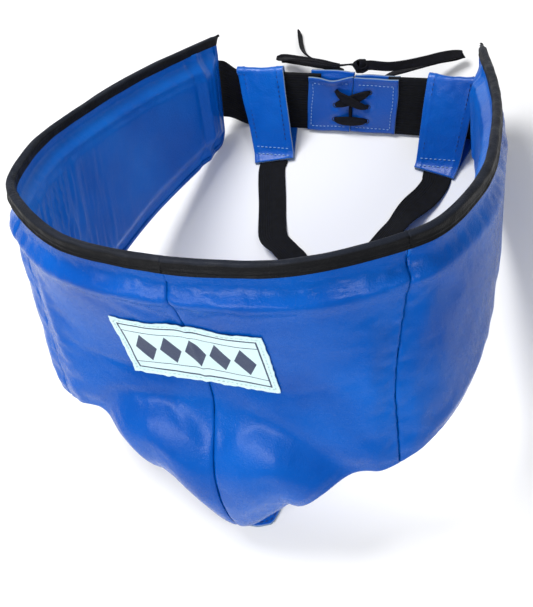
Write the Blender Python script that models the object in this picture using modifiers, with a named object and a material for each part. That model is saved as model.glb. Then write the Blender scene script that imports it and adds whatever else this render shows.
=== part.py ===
"""Groin protector with a cup, two padded wings, a laced elastic waistband and leg straps.

The guard lies the way it rests on a table: on the crotch tail under its tip and on the rear lower
corners of its two wings. +X is the wearer's left, +Y points to the wearer's back along the table and
+Z is up, with z = 0 at the table. Lengths are in metres.

The padded shell is a lofted surface. A point on it is given by a station t, counted from the front
centre (0) past the side seams (3) to the wing ends (9), negative on the wearer's right, and by a
drop v, 0 at the rim and 1 at the lower edge. Each layer of the shell lies between two depths under
that surface.
"""
import math

import bmesh
import bpy
import numpy as np
from mathutils import Vector

MM = 0.001

# One row per station: rim half-breadth, rim depth, the same two 105 mm lower, rim drop, panel height.
STATIONS_MM = (
    (0.0, 0.0, 0.0, 25.0, 0.0, 150.0),
    (40.0, 3.3, 40.0, 25.5, 0.0, 150.0),
    (80.0, 15.7, 80.0, 28.0, 0.0, 150.0),
    (122.0, 46.8, 112.0, 35.0, 0.5, 146.0),
    (140.0, 75.0, 133.0, 62.0, 1.0, 141.0),
    (148.5, 120.0, 143.0, 112.0, 2.0, 132.0),
    (145.0, 167.0, 141.0, 165.0, 4.0, 121.0),
    (135.0, 224.0, 133.0, 222.0, 7.0, 109.0),
    (118.0, 281.0, 119.0, 279.0, 11.0, 97.0),
    (108.0, 312.0, 112.5, 309.0, 14.0, 87.0),
)
SIDE_SEAM = 3.0
WING_END = 9.0
SEAM_GAP = 0.006                 # in stations, about 0.2 mm
LOW_LEVEL = 105.0 * MM           # the drop of the lower half-breadths and depths
CORNER_ROUND = 12.0 * MM         # at the wing ends' lower corners
END_STATION_LENGTH = 33.0 * MM   # length of the last station
NORMAL_STEP = 0.5 * MM           # for measuring the surface's direction

# The cup part of the front panel.
TIP_DROP = 240.0 * MM            # from the rim to the tip
TIP_SLOPE = 1.13                 # how steeply the lower edge rises away from the tip
TIP_ROUND = 10.0 * MM
CORNER_BLEND = 6.0 * MM          # how softly the cup's lower edge meets the band's
CUP_EDGE_MARGIN = 0.2            # the cup's edge ends this far past the side seam, in stations
SHOULDER_DROP = 112.0 * MM       # where the bulge starts at the centre
SHOULDER_FALL = 40.0 * MM        # how far the shoulder falls at its outer ends
SHOULDER_END = 88.0 * MM         # half-breadth at those outer ends
SHOULDER_RUN = 80.0 * MM         # least height over which the bulge rises
BULGE_RISE = 0.45                # share of that height in which it reaches its full height
BULGE_HALF_WIDTH = 98.0 * MM
BULGE_HEIGHT = 18.0 * MM
TIP_CURL = 26.0 * MM             # how far the tip turns in under the wearer
CENTRE_SEAM_DEPTH = 2.5 * MM
CENTRE_SEAM_WIDTH = 9.0 * MM
CENTRE_SEAM_FADES = (40.0 * MM, 60.0 * MM)   # under the shoulder and above the tip

# Layers of the shell.
LEATHER = 1.4 * MM
LINING = 1.2 * MM
GAP = 0.35 * MM
FRONT_THICKNESS = 22.0 * MM
WING_THICKNESS = 15.0 * MM
RIM_THICKNESS = 8.5 * MM
EDGE_TAPER = 32.0 * MM
RIM_RECESS = 2.0 * MM            # how far the leather lies back under the binding
RECESS_FADE = 16.0 * MM
OUTER_FOAM = 11.0 * MM
OUTER_FOAM_AT_CUP = 5.0 * MM
CUP_WALL = 2.5 * MM
CUP_REACH = 1.7                  # half width of the cup's pocket, in stations
CUP_FIT = 0.90                   # of the pocket's size
CUP_TOP_DROP = 124.0 * MM
CUP_TOP_FALL = 14.0 * MM
CUP_EDGE_INSET = 17.0 * MM
CUP_CLEARANCE = 2.0 * MM
CUP_LEAST_HALF = 6.0 * MM        # least half height of its pocket
THICKNESS_AT_CUP = 13.5 * MM

PATCH_STATIONS = (-1.17, 1.16)
PATCH_DROPS = (48.5 * MM, 99.5 * MM)
PATCH_THICKNESS = 0.9 * MM
PATCH_GAP = 0.4 * MM

BINDING_DROP = 12.0 * MM
FLAT_BORDER = 14.0 * MM          # the even strip under the binding
BINDING_TAPE = 1.1 * MM
BINDING_EASE = 0.05 * MM         # its sides stand this much further off than its roll
BINDING_ROLL = 0.35              # height of the roll, as a share of its radius
BINDING_LEG_ROWS = 3
BINDING_ROLL_ROWS = 5

# How the guard rests.
REST_TILT = math.radians(27.88)
RIM_FRONT = (0.0, -93.2 * MM, 232.1 * MM)

# Waistband, in the resting frame.
BAND_WIDTH = 50.0 * MM
BAND_THICKNESS = 1.6 * MM
BAND_BOTTOM = (146.3 * MM, 2.6 * MM)     # y and z of the band's lower edge
BAND_LEAN = math.radians(21.5)
BAND_END_X = 104.5 * MM
BAND_END_SHIFTS = {                      # of the lower and upper edge, to meet the wing's end
    "left": (Vector((0.0, -8.0, 0.0)) * MM, Vector((0.0, 0.0, 0.0)) * MM),
    "right": (Vector((0.0, -2.0, 12.0)) * MM, Vector((0.0, 4.5, 5.0)) * MM),
}
BAND_BENDS = {"left": (90.0 * MM, 13.0 * MM), "right": (88.0 * MM, 15.0 * MM)}
TAB_WIDTH = 35.5 * MM
TAB_THICKNESS = 3.2 * MM
TAB_SKEW = 9.0 * MM
TAB_CENTRE = 2.0 * MM
EYELET_RADIUS = 2.0 * MM
EYELET_ROWS = (11.0 * MM, 24.0 * MM, 37.0 * MM)
EYELET_INSET = 15.0 * MM
EYELET_PUNCH = 10.0 * MM
TAB_SEAM = 0.2 * MM              # half of the gap between the tabs
TAB_MARGIN = 0.5 * MM            # between a tab's edge and the band's
TAB_STEP = 0.7 * MM              # between a tab and its elastic
LACE_WIDTH = 6.0 * MM
LACE_THICKNESS = 1.2 * MM
LACE_CORD = 3.0 * MM

# Belt loops and leg straps.
LOOP_WIDTH = 38.5 * MM
LOOP_HEM_WIDTH = 32.0 * MM
LOOP_LEATHER = 1.8 * MM
LOOP_CENTRES = {"left": 82.8 * MM, "right": -70.0 * MM}
LOOP_LEAN_IN = 12.0 * MM
LOOP_DEPTH = 33.0 * MM           # from the band's lower edge to the hem
FLOOR_CLEARANCE = 0.05 * MM
STRAP_WIDTH = 24.0 * MM
STRAP_THICKNESS = 1.5 * MM
STRAP_SPACING = 14.0 * MM
TAIL_THICKNESS = 2.4 * MM
TAIL_OUTLINE_MM = ((-25.5, -162.0), (-23.0, -170.5), (-8.0, -173.0), (8.0, -173.0), (23.0, -170.5),
                   (25.5, -162.0), (30.0, -101.0), (-30.0, -101.0))
STRAP_ROUTES_MM = {
    "right": ((-58.3, 112.8), (-58.3, 105.0), (-46.5, 80.0), (-37.0, 52.0), (-29.0, 30.0),
              (-23.0, -5.0), (-18.0, -52.0), (-15.0, -99.5)),
    "left": ((73.3, 112.8), (73.3, 105.0), (66.0, 88.0), (56.5, 70.0), (42.0, 50.0), (31.0, 28.0),
             (24.0, -5.0), (18.5, -52.0), (15.0, -99.5)),
}

# The bow behind the tabs: its knot and the lace's two free ends.
KNOT_CENTRE_MM = (6.0, 180.3, 40.0)
KNOT_SIZE_MM = (11.0, 7.0, 9.0)
LACE_END_RIGHT_MM = (
    (-1.5, 180.8, 41.0), (-10.0, 183.8, 39.0), (-22.0, 189.8, 31.0), (-36.0, 196.8, 20.0),
    (-50.0, 203.8, 9.0), (-61.0, 209.8, 3.0), (-67.0, 218.8, 2.0), (-61.0, 224.8, 2.0),
    (-50.0, 220.8, 2.5), (-38.0, 213.8, 6.0), (-26.0, 206.8, 13.0), (-16.0, 200.8, 16.0),
    (-12.0, 209.8, 10.0), (-22.0, 222.8, 4.0), (-38.0, 230.8, 2.0), (-56.0, 234.8, 2.0),
    (-72.0, 238.8, 2.0), (-84.0, 246.8, 2.0),
)
LACE_END_LEFT_MM = (
    (13.5, 180.8, 41.0), (22.0, 184.8, 38.0), (34.0, 193.8, 30.0), (46.0, 203.8, 20.0),
    (58.0, 214.8, 10.0), (67.0, 224.8, 4.0), (74.0, 230.8, 2.0), (80.0, 225.8, 2.0),
    (76.0, 217.8, 2.0), (64.0, 209.8, 4.0), (52.0, 199.8, 10.0), (40.0, 189.8, 15.0),
    (30.0, 184.8, 17.0), (26.0, 190.8, 11.0), (34.0, 202.8, 5.0), (42.0, 216.8, 2.0),
    (40.0, 232.8, 2.0), (32.0, 246.8, 2.0),
)


def smooth_through(values, odd):
    """A natural cubic spline through the stations and their mirror images."""
    half = np.array(values, dtype=float) * MM
    mirrored = -half[:0:-1] if odd else half[:0:-1]
    heights = np.concatenate((mirrored, half))
    count = len(heights)
    system = np.eye(count)
    right = np.zeros(count)
    for i in range(1, count - 1):
        system[i, i - 1:i + 2] = (1.0, 4.0, 1.0)
        right[i] = 6.0 * (heights[i + 1] - 2.0 * heights[i] + heights[i - 1])
    bends = np.linalg.solve(system, right)
    first = -(len(half) - 1)

    def evaluate(t):
        place = min(max(t - first, 0.0), count - 1.0)
        i = min(int(place), count - 2)
        b = place - i
        a = 1.0 - b
        line = a * heights[i] + b * heights[i + 1]
        return float(line + ((a ** 3 - a) * bends[i] + (b ** 3 - b) * bends[i + 1]) / 6.0)
    return evaluate


COLUMNS = list(zip(*STATIONS_MM))
RIM_X = smooth_through(COLUMNS[0], odd=True)
RIM_Y = smooth_through(COLUMNS[1], odd=False)
LOW_X = smooth_through(COLUMNS[2], odd=True)
LOW_Y = smooth_through(COLUMNS[3], odd=False)
RIM_DROP = smooth_through(COLUMNS[4], odd=False)
PANEL_HEIGHT = smooth_through(COLUMNS[5], odd=False)


def ramp(value):
    value = min(max(value, 0.0), 1.0)
    return value * value * (3.0 - 2.0 * value)


def shell_height(t):
    """Height of the shell at station t, from the rim to the lower edge."""
    band = PANEL_HEIGHT(t)
    to_end = (WING_END - abs(t)) * END_STATION_LENGTH
    inset = CORNER_ROUND - min(to_end, CORNER_ROUND)
    band -= CORNER_ROUND - math.sqrt(CORNER_ROUND ** 2 - inset ** 2)
    if abs(t) > SIDE_SEAM + CUP_EDGE_MARGIN:
        return band
    x = abs(LOW_X(t))
    cup = TIP_DROP - TIP_SLOPE * (math.hypot(x, TIP_ROUND) - TIP_ROUND)
    return CORNER_BLEND * float(np.logaddexp(cup / CORNER_BLEND, band / CORNER_BLEND))


def surface(t, drop):
    """A point of the outer surface, in the shell's own frame with its origin at the rim's front."""
    w = ramp(drop / LOW_LEVEL)
    x = RIM_X(t) * (1.0 - w) + LOW_X(t) * w
    y = RIM_Y(t) * (1.0 - w) + LOW_Y(t) * w
    reach = abs(x) / BULGE_HALF_WIDTH
    if reach < 1.0:
        shoulder = SHOULDER_DROP + SHOULDER_FALL * (abs(x) / SHOULDER_END) ** 1.6
        run = max(shell_height(t) - shoulder, SHOULDER_RUN)
        along = max((drop - shoulder) / run, 0.0)
        past_rise = max((along - BULGE_RISE) / (1.0 - BULGE_RISE), 0.0)
        y -= BULGE_HEIGHT * (1.0 - reach ** 2) * ramp(along / BULGE_RISE)
        y += TIP_CURL * past_rise ** 2.2 * (1.0 - reach ** 2) ** 1.5
    return Vector((x, y, -RIM_DROP(t) - drop))


def under(t, v, depth):
    """A point at a depth under the outer surface."""
    drop = v * shell_height(t)
    sideways = surface(t + 0.01, drop) - surface(t - 0.01, drop)
    downwards = surface(t, drop + NORMAL_STEP) - surface(t, drop - NORMAL_STEP)
    outward = downwards.cross(sideways).normalized()
    return surface(t, drop) - outward * depth


def edge_fullness(t, v):
    """0 at the shell's edges and 1 where the padding has its full thickness."""
    height = shell_height(t)
    from_edge = min(v, 1.0 - v) * height
    from_end = (WING_END - abs(t)) * END_STATION_LENGTH
    return ramp((min(from_edge, from_end) - FLAT_BORDER) / EDGE_TAPER)


def cup_centre(t):
    """Middle drop and half height of the cup at station t."""
    top = CUP_TOP_DROP + CUP_TOP_FALL * (t / CUP_REACH) ** 2
    bottom = shell_height(t) - CUP_EDGE_INSET
    return 0.5 * (top + bottom), max(0.5 * (bottom - top), CUP_LEAST_HALF)


def cup_share(t, v):
    """1 over the cup and 0 well away from it."""
    middle, half = cup_centre(t)
    across = abs(t) / CUP_REACH
    along = (v * shell_height(t) - middle) / half
    return 1.0 - ramp((math.hypot(across, along) - 1.2) / 0.35)


def shell_thickness(t, v):
    wing = ramp((abs(t) - SIDE_SEAM + 0.5) / 1.0)
    full = FRONT_THICKNESS + (WING_THICKNESS - FRONT_THICKNESS) * wing
    cup = cup_share(t, v)
    full += (THICKNESS_AT_CUP - full) * cup
    return RIM_THICKNESS + (full - RIM_THICKNESS) * max(edge_fullness(t, v), 0.4 * cup)


def border_recess(t, v):
    return RIM_RECESS * (1.0 - ramp((v * shell_height(t) - FLAT_BORDER) / RECESS_FADE))


def cover_depth(t, v):
    """The leather lies back under the binding, and along the centre seam over the cup."""
    height = shell_height(t)
    fade_in, fade_out = CENTRE_SEAM_FADES
    fade = ramp((v * height - SHOULDER_DROP) / fade_in) * ramp((1.0 - v) * height / fade_out)
    groove = math.exp(-(LOW_X(t) / CENTRE_SEAM_WIDTH) ** 2) * fade
    return border_recess(t, v) + CENTRE_SEAM_DEPTH * groove


def outer_foam_depth(t, v):
    foam = OUTER_FOAM + (OUTER_FOAM_AT_CUP - OUTER_FOAM) * cup_share(t, v)
    room = shell_thickness(t, v) - LINING - LEATHER - border_recess(t, v) - 3.0 * GAP
    return border_recess(t, v) + LEATHER + GAP + min(foam, 0.5 * room)


def inner_foam_depth(t, v):
    cup_room = (CUP_WALL + 2.0 * CUP_CLEARANCE) * cup_share(t, v)
    return outer_foam_depth(t, v) + GAP + cup_room


def lining_depth(t, v):
    return shell_thickness(t, v) - LINING + (CUP_WALL + CUP_CLEARANCE) * cup_share(t, v)


def new_object(name, mesh, colour, roughness, metallic, parent):
    material = bpy.data.materials.new(name + "_material")
    material.use_nodes = True
    shader = material.node_tree.nodes["Principled BSDF"]
    shader.inputs["Base Color"].default_value = (*colour, 1.0)
    shader.inputs["Roughness"].default_value = roughness
    shader.inputs["Metallic"].default_value = metallic
    mesh.materials.append(material)
    made = bpy.data.objects.new(name, mesh)
    made.parent = parent
    PARTS.objects.link(made)
    return made


BLUE_LEATHER = ((0.0, 0.08, 0.52), 0.35, 0.0)
BLUE_LINING = ((0.01, 0.07, 0.40), 0.45, 0.0)
BLACK_TAPE = ((0.012, 0.012, 0.015), 0.6, 0.0)
BLACK_WEB = ((0.008, 0.008, 0.010), 0.8, 0.0)
FOAM = ((0.72, 0.70, 0.62), 0.9, 0.0)
CUP_STEEL = ((0.62, 0.63, 0.65), 0.35, 1.0)
PALE_PATCH = ((0.62, 0.80, 0.78), 0.5, 0.0)


def sheet_grid(columns, rows):
    """An open grid over the unit square."""
    grid = bmesh.new()
    bmesh.ops.create_grid(grid, x_segments=columns, y_segments=rows, size=0.5)
    bmesh.ops.triangulate(grid, faces=grid.faces[:], quad_method="FIXED")
    for vertex in grid.verts:
        vertex.co += Vector((0.5, 0.5, 0.0))
    return grid


def shell_row(t, w, rows):
    """The drop v of a grid row: the first row covers the flat border and the others share the rest."""
    border = FLAT_BORDER / shell_height(t)
    first = 1.0 / rows
    if w <= first:
        return border * w / first
    return border + (1.0 - border) * (w - first) / (1.0 - first)


def layer(name, t_span, cells, outer, inner, look, parent, drops=None):
    """A closed slab of the shell between two depths, as two lofted grids bridged at their edges."""
    slab = sheet_grid(*cells)
    far = bmesh.ops.duplicate(slab, geom=slab.verts[:] + slab.edges[:] + slab.faces[:])
    far_verts = {g for g in far["geom"] if isinstance(g, bmesh.types.BMVert)}
    for vertex in slab.verts:
        t = t_span[0] + (t_span[1] - t_span[0]) * vertex.co.x
        if drops:
            v = (drops[0] + (drops[1] - drops[0]) * vertex.co.y) / shell_height(t)
        else:
            v = shell_row(t, vertex.co.y, cells[1])
        depth = inner(t, v) if vertex in far_verts else outer(t, v)
        vertex.co = under(t, v, depth)
    border = [edge for edge in slab.edges if edge.is_boundary]
    bmesh.ops.bridge_loops(slab, edges=border)
    return closed(name, slab, look, parent)


def closed(name, shape, look, parent):
    bmesh.ops.recalc_face_normals(shape, faces=shape.faces)
    mesh = bpy.data.meshes.new(name)
    shape.to_mesh(mesh)
    shape.free()
    return new_object(name, mesh, *look, parent)


def ribbon(name, cells, place, thickness, look, parent, origin=Vector()):
    """A strip of even thickness: an open grid laid out by place(u, w), then Solidify."""
    strip = sheet_grid(*cells)
    for vertex in strip.verts:
        vertex.co = place(vertex.co.x, vertex.co.y) - origin
    mesh = bpy.data.meshes.new(name)
    strip.to_mesh(mesh)
    strip.free()
    made = new_object(name, mesh, *look, parent)
    made.location = origin
    solid = made.modifiers.new("thickness", "SOLIDIFY")
    solid.thickness = thickness
    solid.offset = 0.0
    return made


def wing_hinge(side, t, stand):
    """An empty at the middle of the side seam, on the line that the wing flexes about."""
    hinge = bpy.data.objects.new("wing_" + side + "_hinge", None)
    hinge.parent = stand
    hinge.location = 0.5 * (surface(t, 0.0) + surface(t, shell_height(t)))
    PARTS.objects.link(hinge)
    return hinge


def hang(part, hinge):
    """Parents a part to its hinge and leaves it where it is."""
    part.parent = hinge
    part.location = -hinge.location


def build_shell(stand):
    front = (-SIDE_SEAM + SEAM_GAP, SIDE_SEAM - SEAM_GAP)
    left = (SIDE_SEAM + SEAM_GAP, WING_END)
    right = (-WING_END, -SIDE_SEAM - SEAM_GAP)
    halves = {
        "cover_front_left": (SEAM_GAP, front[1]),
        "cover_front_right": (front[0], -SEAM_GAP),
    }

    def under_cover(t, v):
        return cover_depth(t, v) + LEATHER

    def foam_top(t, v):
        return under_cover(t, v) + GAP

    def foam_end(t, v):
        return lining_depth(t, v) - GAP

    def lining_end(t, v):
        return lining_depth(t, v) + LINING

    for name, span in halves.items():
        layer(name, span, (12, 18), cover_depth, under_cover, BLUE_LEATHER, stand)
    layer("foam_front_outer", front, (24, 18), foam_top, outer_foam_depth, FOAM, stand)
    layer("foam_front_inner", front, (24, 18), inner_foam_depth, foam_end, FOAM, stand)
    layer("lining_front", front, (24, 18), lining_depth, lining_end, BLUE_LINING, stand)
    build_binding("binding_front", front, 24, stand)
    for side, sign, span in (("left", 1.0, left), ("right", -1.0, right)):
        cells = (18, 8)
        hinge = wing_hinge(side, sign * SIDE_SEAM, stand)
        for part in (
            layer("cover_wing_" + side, span, cells, cover_depth, under_cover, BLUE_LEATHER, stand),
            layer("foam_wing_" + side, span, cells, foam_top, foam_end, FOAM, stand),
            layer("lining_wing_" + side, span, cells, lining_depth, lining_end, BLUE_LINING, stand),
            build_binding("binding_wing_" + side, span, 18, stand),
        ):
            hang(part, hinge)


def build_binding(name, span, columns, stand):
    """Tape folded over the rim, as a U-shaped strip."""
    wall = 0.5 * BINDING_TAPE
    leg = BINDING_LEG_ROWS
    rows = 2 * leg + BINDING_ROLL_ROWS

    def place(u, w):
        t = span[0] + (span[1] - span[0]) * u
        height = shell_height(t)
        outside = cover_depth(t, 0.0) - GAP - wall
        inside = lining_depth(t, 0.0) + LINING + GAP + wall
        step = w * rows
        if step <= leg:
            drop = BINDING_DROP * (1.0 - step / leg)
            depth = cover_depth(t, drop / height) - GAP - wall - BINDING_EASE
        elif step >= rows - leg:
            drop = BINDING_DROP * (step - rows + leg) / leg
            depth = lining_depth(t, drop / height) + LINING + GAP + wall + BINDING_EASE
        else:
            angle = math.pi * (step - leg) / (rows - 2 * leg)
            middle = 0.5 * (outside + inside)
            radius = 0.5 * (inside - outside)
            depth = middle - radius * math.cos(angle)
            drop = -(BINDING_ROLL * radius + wall + GAP) * math.sin(angle)
        return under(t, drop / height, depth)
    return ribbon(name, (columns, rows), place, BINDING_TAPE, BLACK_TAPE, stand)


def build_cup(stand):
    """The rigid cup between the two foams, a rounded patch of the shell."""
    cup = sheet_grid(12, 12)
    far = bmesh.ops.duplicate(cup, geom=cup.verts[:] + cup.edges[:] + cup.faces[:])
    far_verts = {g for g in far["geom"] if isinstance(g, bmesh.types.BMVert)}
    for vertex in cup.verts:
        a = 2.0 * vertex.co.x - 1.0
        b = 2.0 * vertex.co.y - 1.0
        across = a * math.sqrt(1.0 - 0.5 * b * b)
        along = b * math.sqrt(1.0 - 0.5 * a * a)
        t = CUP_FIT * CUP_REACH * across
        middle, half = cup_centre(t)
        v = (middle + CUP_FIT * half * along) / shell_height(t)
        depth = outer_foam_depth(t, v) + CUP_CLEARANCE
        if vertex in far_verts:
            depth += CUP_WALL
        vertex.co = under(t, v, depth)
    bmesh.ops.bridge_loops(cup, edges=[edge for edge in cup.edges if edge.is_boundary])
    closed("cup_shell", cup, CUP_STEEL, stand)


def build_patch(stand):
    def above(t, v):
        return cover_depth(t, v) - PATCH_GAP - PATCH_THICKNESS

    def below(t, v):
        return cover_depth(t, v) - PATCH_GAP
    layer("label_patch", PATCH_STATIONS, (12, 5), above, below, PALE_PATCH, stand, drops=PATCH_DROPS)


def band_point(x, along, out):
    """A point of the leaning waistband: along its width from the lower edge, and out to the rear."""
    y = BAND_BOTTOM[0] + along * math.sin(BAND_LEAN) + out * math.cos(BAND_LEAN)
    z = BAND_BOTTOM[1] + along * math.cos(BAND_LEAN) - out * math.sin(BAND_LEAN)
    return Vector((x, y, z))


def build_waistband():
    """Two elastics from the wing ends to the laced tabs; each end lies against its wing's end face."""
    for side, sign in (("left", 1.0), ("right", -1.0)):
        inner_end = TAB_CENTRE + sign * (TAB_WIDTH + TAB_STEP)
        lower_end, upper_end = BAND_END_SHIFTS[side]
        bend_start, bend_length = BAND_BENDS[side]

        def place(u, w):
            x = inner_end + (sign * BAND_END_X - inner_end) * u
            skew = TAB_SKEW * (w - 0.5) * (1.0 - ramp(u * 2.0))
            bend = ramp((abs(x) - bend_start) / bend_length)
            shift = lower_end.lerp(upper_end, w)
            return band_point(x + skew, BAND_WIDTH * w, 0.0) + shift * bend
        ribbon("waist_elastic_" + side, (14, 4), place, BAND_THICKNESS, BLACK_WEB, None)
        build_tab(side, sign)
    build_lace()


def tab_point(x, along, out):
    return band_point(x + TAB_SKEW * (along / BAND_WIDTH - 0.5), along, out)


def build_tab(side, sign):
    def place(u, w):
        x = TAB_CENTRE + sign * (TAB_SEAM + (TAB_WIDTH - TAB_SEAM) * u)
        return tab_point(x, TAB_MARGIN + (BAND_WIDTH - 2.0 * TAB_MARGIN) * w, 0.0)
    tab = ribbon("lace_tab_" + side, (1, 1), place, TAB_THICKNESS, BLUE_LEATHER, None)
    for row, along in enumerate(EYELET_ROWS):
        centre = tab_point(TAB_CENTRE + sign * EYELET_INSET, along, 0.0)
        punch = bmesh.new()
        bmesh.ops.create_cone(punch, cap_ends=True, segments=12, radius1=EYELET_RADIUS,
                              radius2=EYELET_RADIUS, depth=EYELET_PUNCH)
        mesh = bpy.data.meshes.new(f"eyelet_{side}_{row}")
        punch.to_mesh(mesh)
        punch.free()
        cutter = bpy.data.objects.new(mesh.name, mesh)
        cutter.location = centre
        cutter.rotation_euler = (0.5 * math.pi - BAND_LEAN, 0.0, 0.0)
        cutter.hide_render = True
        cutter.display_type = "WIRE"
        CUTTERS.objects.link(cutter)
        cut = tab.modifiers.new("eyelet", "BOOLEAN")
        cut.object = cutter
        cut.operation = "DIFFERENCE"
        cut.solver = "EXACT"


def build_lace():
    """The laced stretch over the tabs: two crossed strands, a riser under them and a bar."""
    low, middle, top = EYELET_ROWS
    near = -0.5 * TAB_THICKNESS - GAP - 0.5 * LACE_THICKNESS
    far = near - LACE_THICKNESS - GAP
    strands = {
        "lace_cross_under": ((-EYELET_INSET, middle), (EYELET_INSET, top), near),
        "lace_cross_over": ((-EYELET_INSET, top), (EYELET_INSET, middle), far),
        "lace_bar": ((-EYELET_INSET, low), (EYELET_INSET, low), near),
        "lace_riser": ((0.0, low + 4.0 * MM), (0.0, middle + 1.0 * MM), near),
    }
    for name, (start, end, out) in strands.items():
        strand = bmesh.new()
        bmesh.ops.create_cube(strand, size=1.0)
        run = math.hypot(end[0] - start[0], end[1] - start[1])
        turn = math.atan2(end[1] - start[1], end[0] - start[0])
        for vertex in strand.verts:
            along = vertex.co.x * run
            across = vertex.co.y * 0.7 * LACE_WIDTH
            x = 0.5 * (start[0] + end[0]) + along * math.cos(turn) - across * math.sin(turn)
            w = 0.5 * (start[1] + end[1]) + along * math.sin(turn) + across * math.cos(turn)
            vertex.co = tab_point(TAB_CENTRE + x, w, out + vertex.co.z * LACE_THICKNESS)
        closed(name, strand, BLACK_WEB, None)


def smooth_route(points, spacing):
    """Points on a smooth curve through the route's points, about evenly spaced."""
    knots = [Vector(p) * MM for p in points]
    knots = [2.0 * knots[0] - knots[1]] + knots + [2.0 * knots[-1] - knots[-2]]
    route = []
    for a, b, c, d in zip(knots, knots[1:], knots[2:], knots[3:]):
        pieces = max(1, round((c - b).length / spacing))
        for i in range(pieces):
            s = i / pieces
            route.append(0.5 * (2.0 * b + (c - a) * s + (2.0 * a - 5.0 * b + 4.0 * c - d) * s * s
                                + (3.0 * b - a - 3.0 * c + d) * s ** 3))
    route.append(knots[-2])
    return route


def build_bow():
    """The knot behind the tabs and the lace's two free ends, each a loop and a tail."""
    knot = bmesh.new()
    bmesh.ops.create_icosphere(knot, subdivisions=2, radius=0.5)
    for vertex in knot.verts:
        vertex.co = Vector([c * size * MM for c, size in zip(vertex.co, KNOT_SIZE_MM)])
        vertex.co += Vector(KNOT_CENTRE_MM) * MM
    closed("lace_knot", knot, BLACK_WEB, None)
    for side, points in (("left", LACE_END_LEFT_MM), ("right", LACE_END_RIGHT_MM)):
        curve = bpy.data.curves.new("lace_end_" + side, "CURVE")
        curve.dimensions = "3D"
        curve.bevel_depth = 0.5 * LACE_CORD
        curve.bevel_resolution = 2
        curve.use_fill_caps = True
        route = smooth_route(points, 2.4 * LACE_CORD)
        spline = curve.splines.new("POLY")
        spline.points.add(len(route) - 1)
        for point, place in zip(spline.points, route):
            point.co = (*place, 1.0)
        new_object(curve.name, curve, *BLACK_WEB, None)


def build_loops():
    """Leather strips folded round the waistband; both plies are sewn together at the hem."""
    half = 0.5 * LOOP_LEATHER
    clear = 0.5 * BAND_THICKNESS + 1.5 * GAP + half
    back_low = band_point(0.0, 0.0, clear)
    hem_y = BAND_BOTTOM[0] - LOOP_DEPTH
    floor = half + FLOOR_CLEARANCE
    above_hem = floor + LOOP_LEATHER + GAP
    section = [
        (hem_y, floor),
        (hem_y + 10.0 * MM, floor),
        (back_low.y, floor),
        (back_low.y + 3.5 * MM, floor + 1.2 * MM),
        (back_low.y + 5.0 * MM, 6.0 * MM),
    ]
    for turn in range(6):
        angle = math.pi * turn / 5
        fold = band_point(0.0, BAND_WIDTH + clear * math.sin(angle), clear * math.cos(angle))
        section.append((fold.y, fold.z))
    section += [
        (hem_y + 29.0 * MM, 29.0 * MM),
        (hem_y + 12.0 * MM, above_hem + 6.5 * MM),
        (hem_y + 6.0 * MM, above_hem + 1.2 * MM),
        (hem_y, above_hem),
    ]
    top_y = max(y for y, z in section)
    for side, centre in LOOP_CENTRES.items():
        inward = -1.0 if centre > 0.0 else 1.0

        def place(u, w, centre=centre, inward=inward):
            step = u * (len(section) - 1)
            i = min(int(step + 1e-6), len(section) - 2)
            s = step - i
            y = section[i][0] * (1.0 - s) + section[i + 1][0] * s
            z = section[i][1] * (1.0 - s) + section[i + 1][1] * s
            fall = (top_y - y) / (top_y - hem_y)
            width = LOOP_WIDTH + (LOOP_HEM_WIDTH - LOOP_WIDTH) * fall
            return Vector((centre + inward * LOOP_LEAN_IN * fall + width * (w - 0.5), y, z))
        origin = band_point(centre, 0.5 * BAND_WIDTH, 0.0)
        cells = (len(section) - 1, 1)
        ribbon("belt_loop_" + side, cells, place, LOOP_LEATHER, BLUE_LEATHER, None, origin)


def build_straps():
    """Elastic webbing lying on the table from the crotch tail to the belt loops."""
    middle = 0.5 * STRAP_THICKNESS + FLOOR_CLEARANCE
    for side, points in STRAP_ROUTES_MM.items():
        route = smooth_route([(x, y, middle / MM) for x, y in points], STRAP_SPACING)

        def place(u, w, route=route):
            step = u * (len(route) - 1)
            i = min(int(step + 1e-6), len(route) - 2)
            here = route[i].lerp(route[i + 1], step - i)
            ahead = route[i + 1] - route[i]
            across = Vector((ahead.y, -ahead.x, 0.0)).normalized()
            return here + across * STRAP_WIDTH * (w - 0.5)
        ribbon("leg_strap_" + side, (len(route) - 1, 1), place, STRAP_THICKNESS, BLACK_WEB, None)


def build_tail():
    """The flat leather tail under the tip, which both straps are sewn to."""
    curve = bpy.data.curves.new("crotch_tail", "CURVE")
    curve.dimensions = "2D"
    curve.fill_mode = "BOTH"
    curve.extrude = 0.5 * TAIL_THICKNESS
    spline = curve.splines.new("POLY")
    spline.points.add(len(TAIL_OUTLINE_MM) - 1)
    for point, (x, y) in zip(spline.points, TAIL_OUTLINE_MM):
        point.co = (x * MM, y * MM, 0.0, 1.0)
    spline.use_cyclic_u = True
    tail = new_object("crotch_tail", curve, *BLUE_LEATHER, None)
    tail.location.z = 0.5 * TAIL_THICKNESS


for old in list(bpy.data.objects):
    bpy.data.objects.remove(old, do_unlink=True)
PARTS = bpy.data.collections.new("groin_protector")
CUTTERS = bpy.data.collections.new("cutters")
bpy.context.scene.collection.children.link(PARTS)
bpy.context.scene.collection.children.link(CUTTERS)

shell_stand = bpy.data.objects.new("shell_stand", None)
shell_stand.location = RIM_FRONT
shell_stand.rotation_euler = (-REST_TILT, 0.0, 0.0)
PARTS.objects.link(shell_stand)
bpy.context.view_layer.update()

build_shell(shell_stand)
build_cup(shell_stand)
build_patch(shell_stand)
build_waistband()
build_bow()
build_loops()
build_straps()
build_tail()
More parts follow.
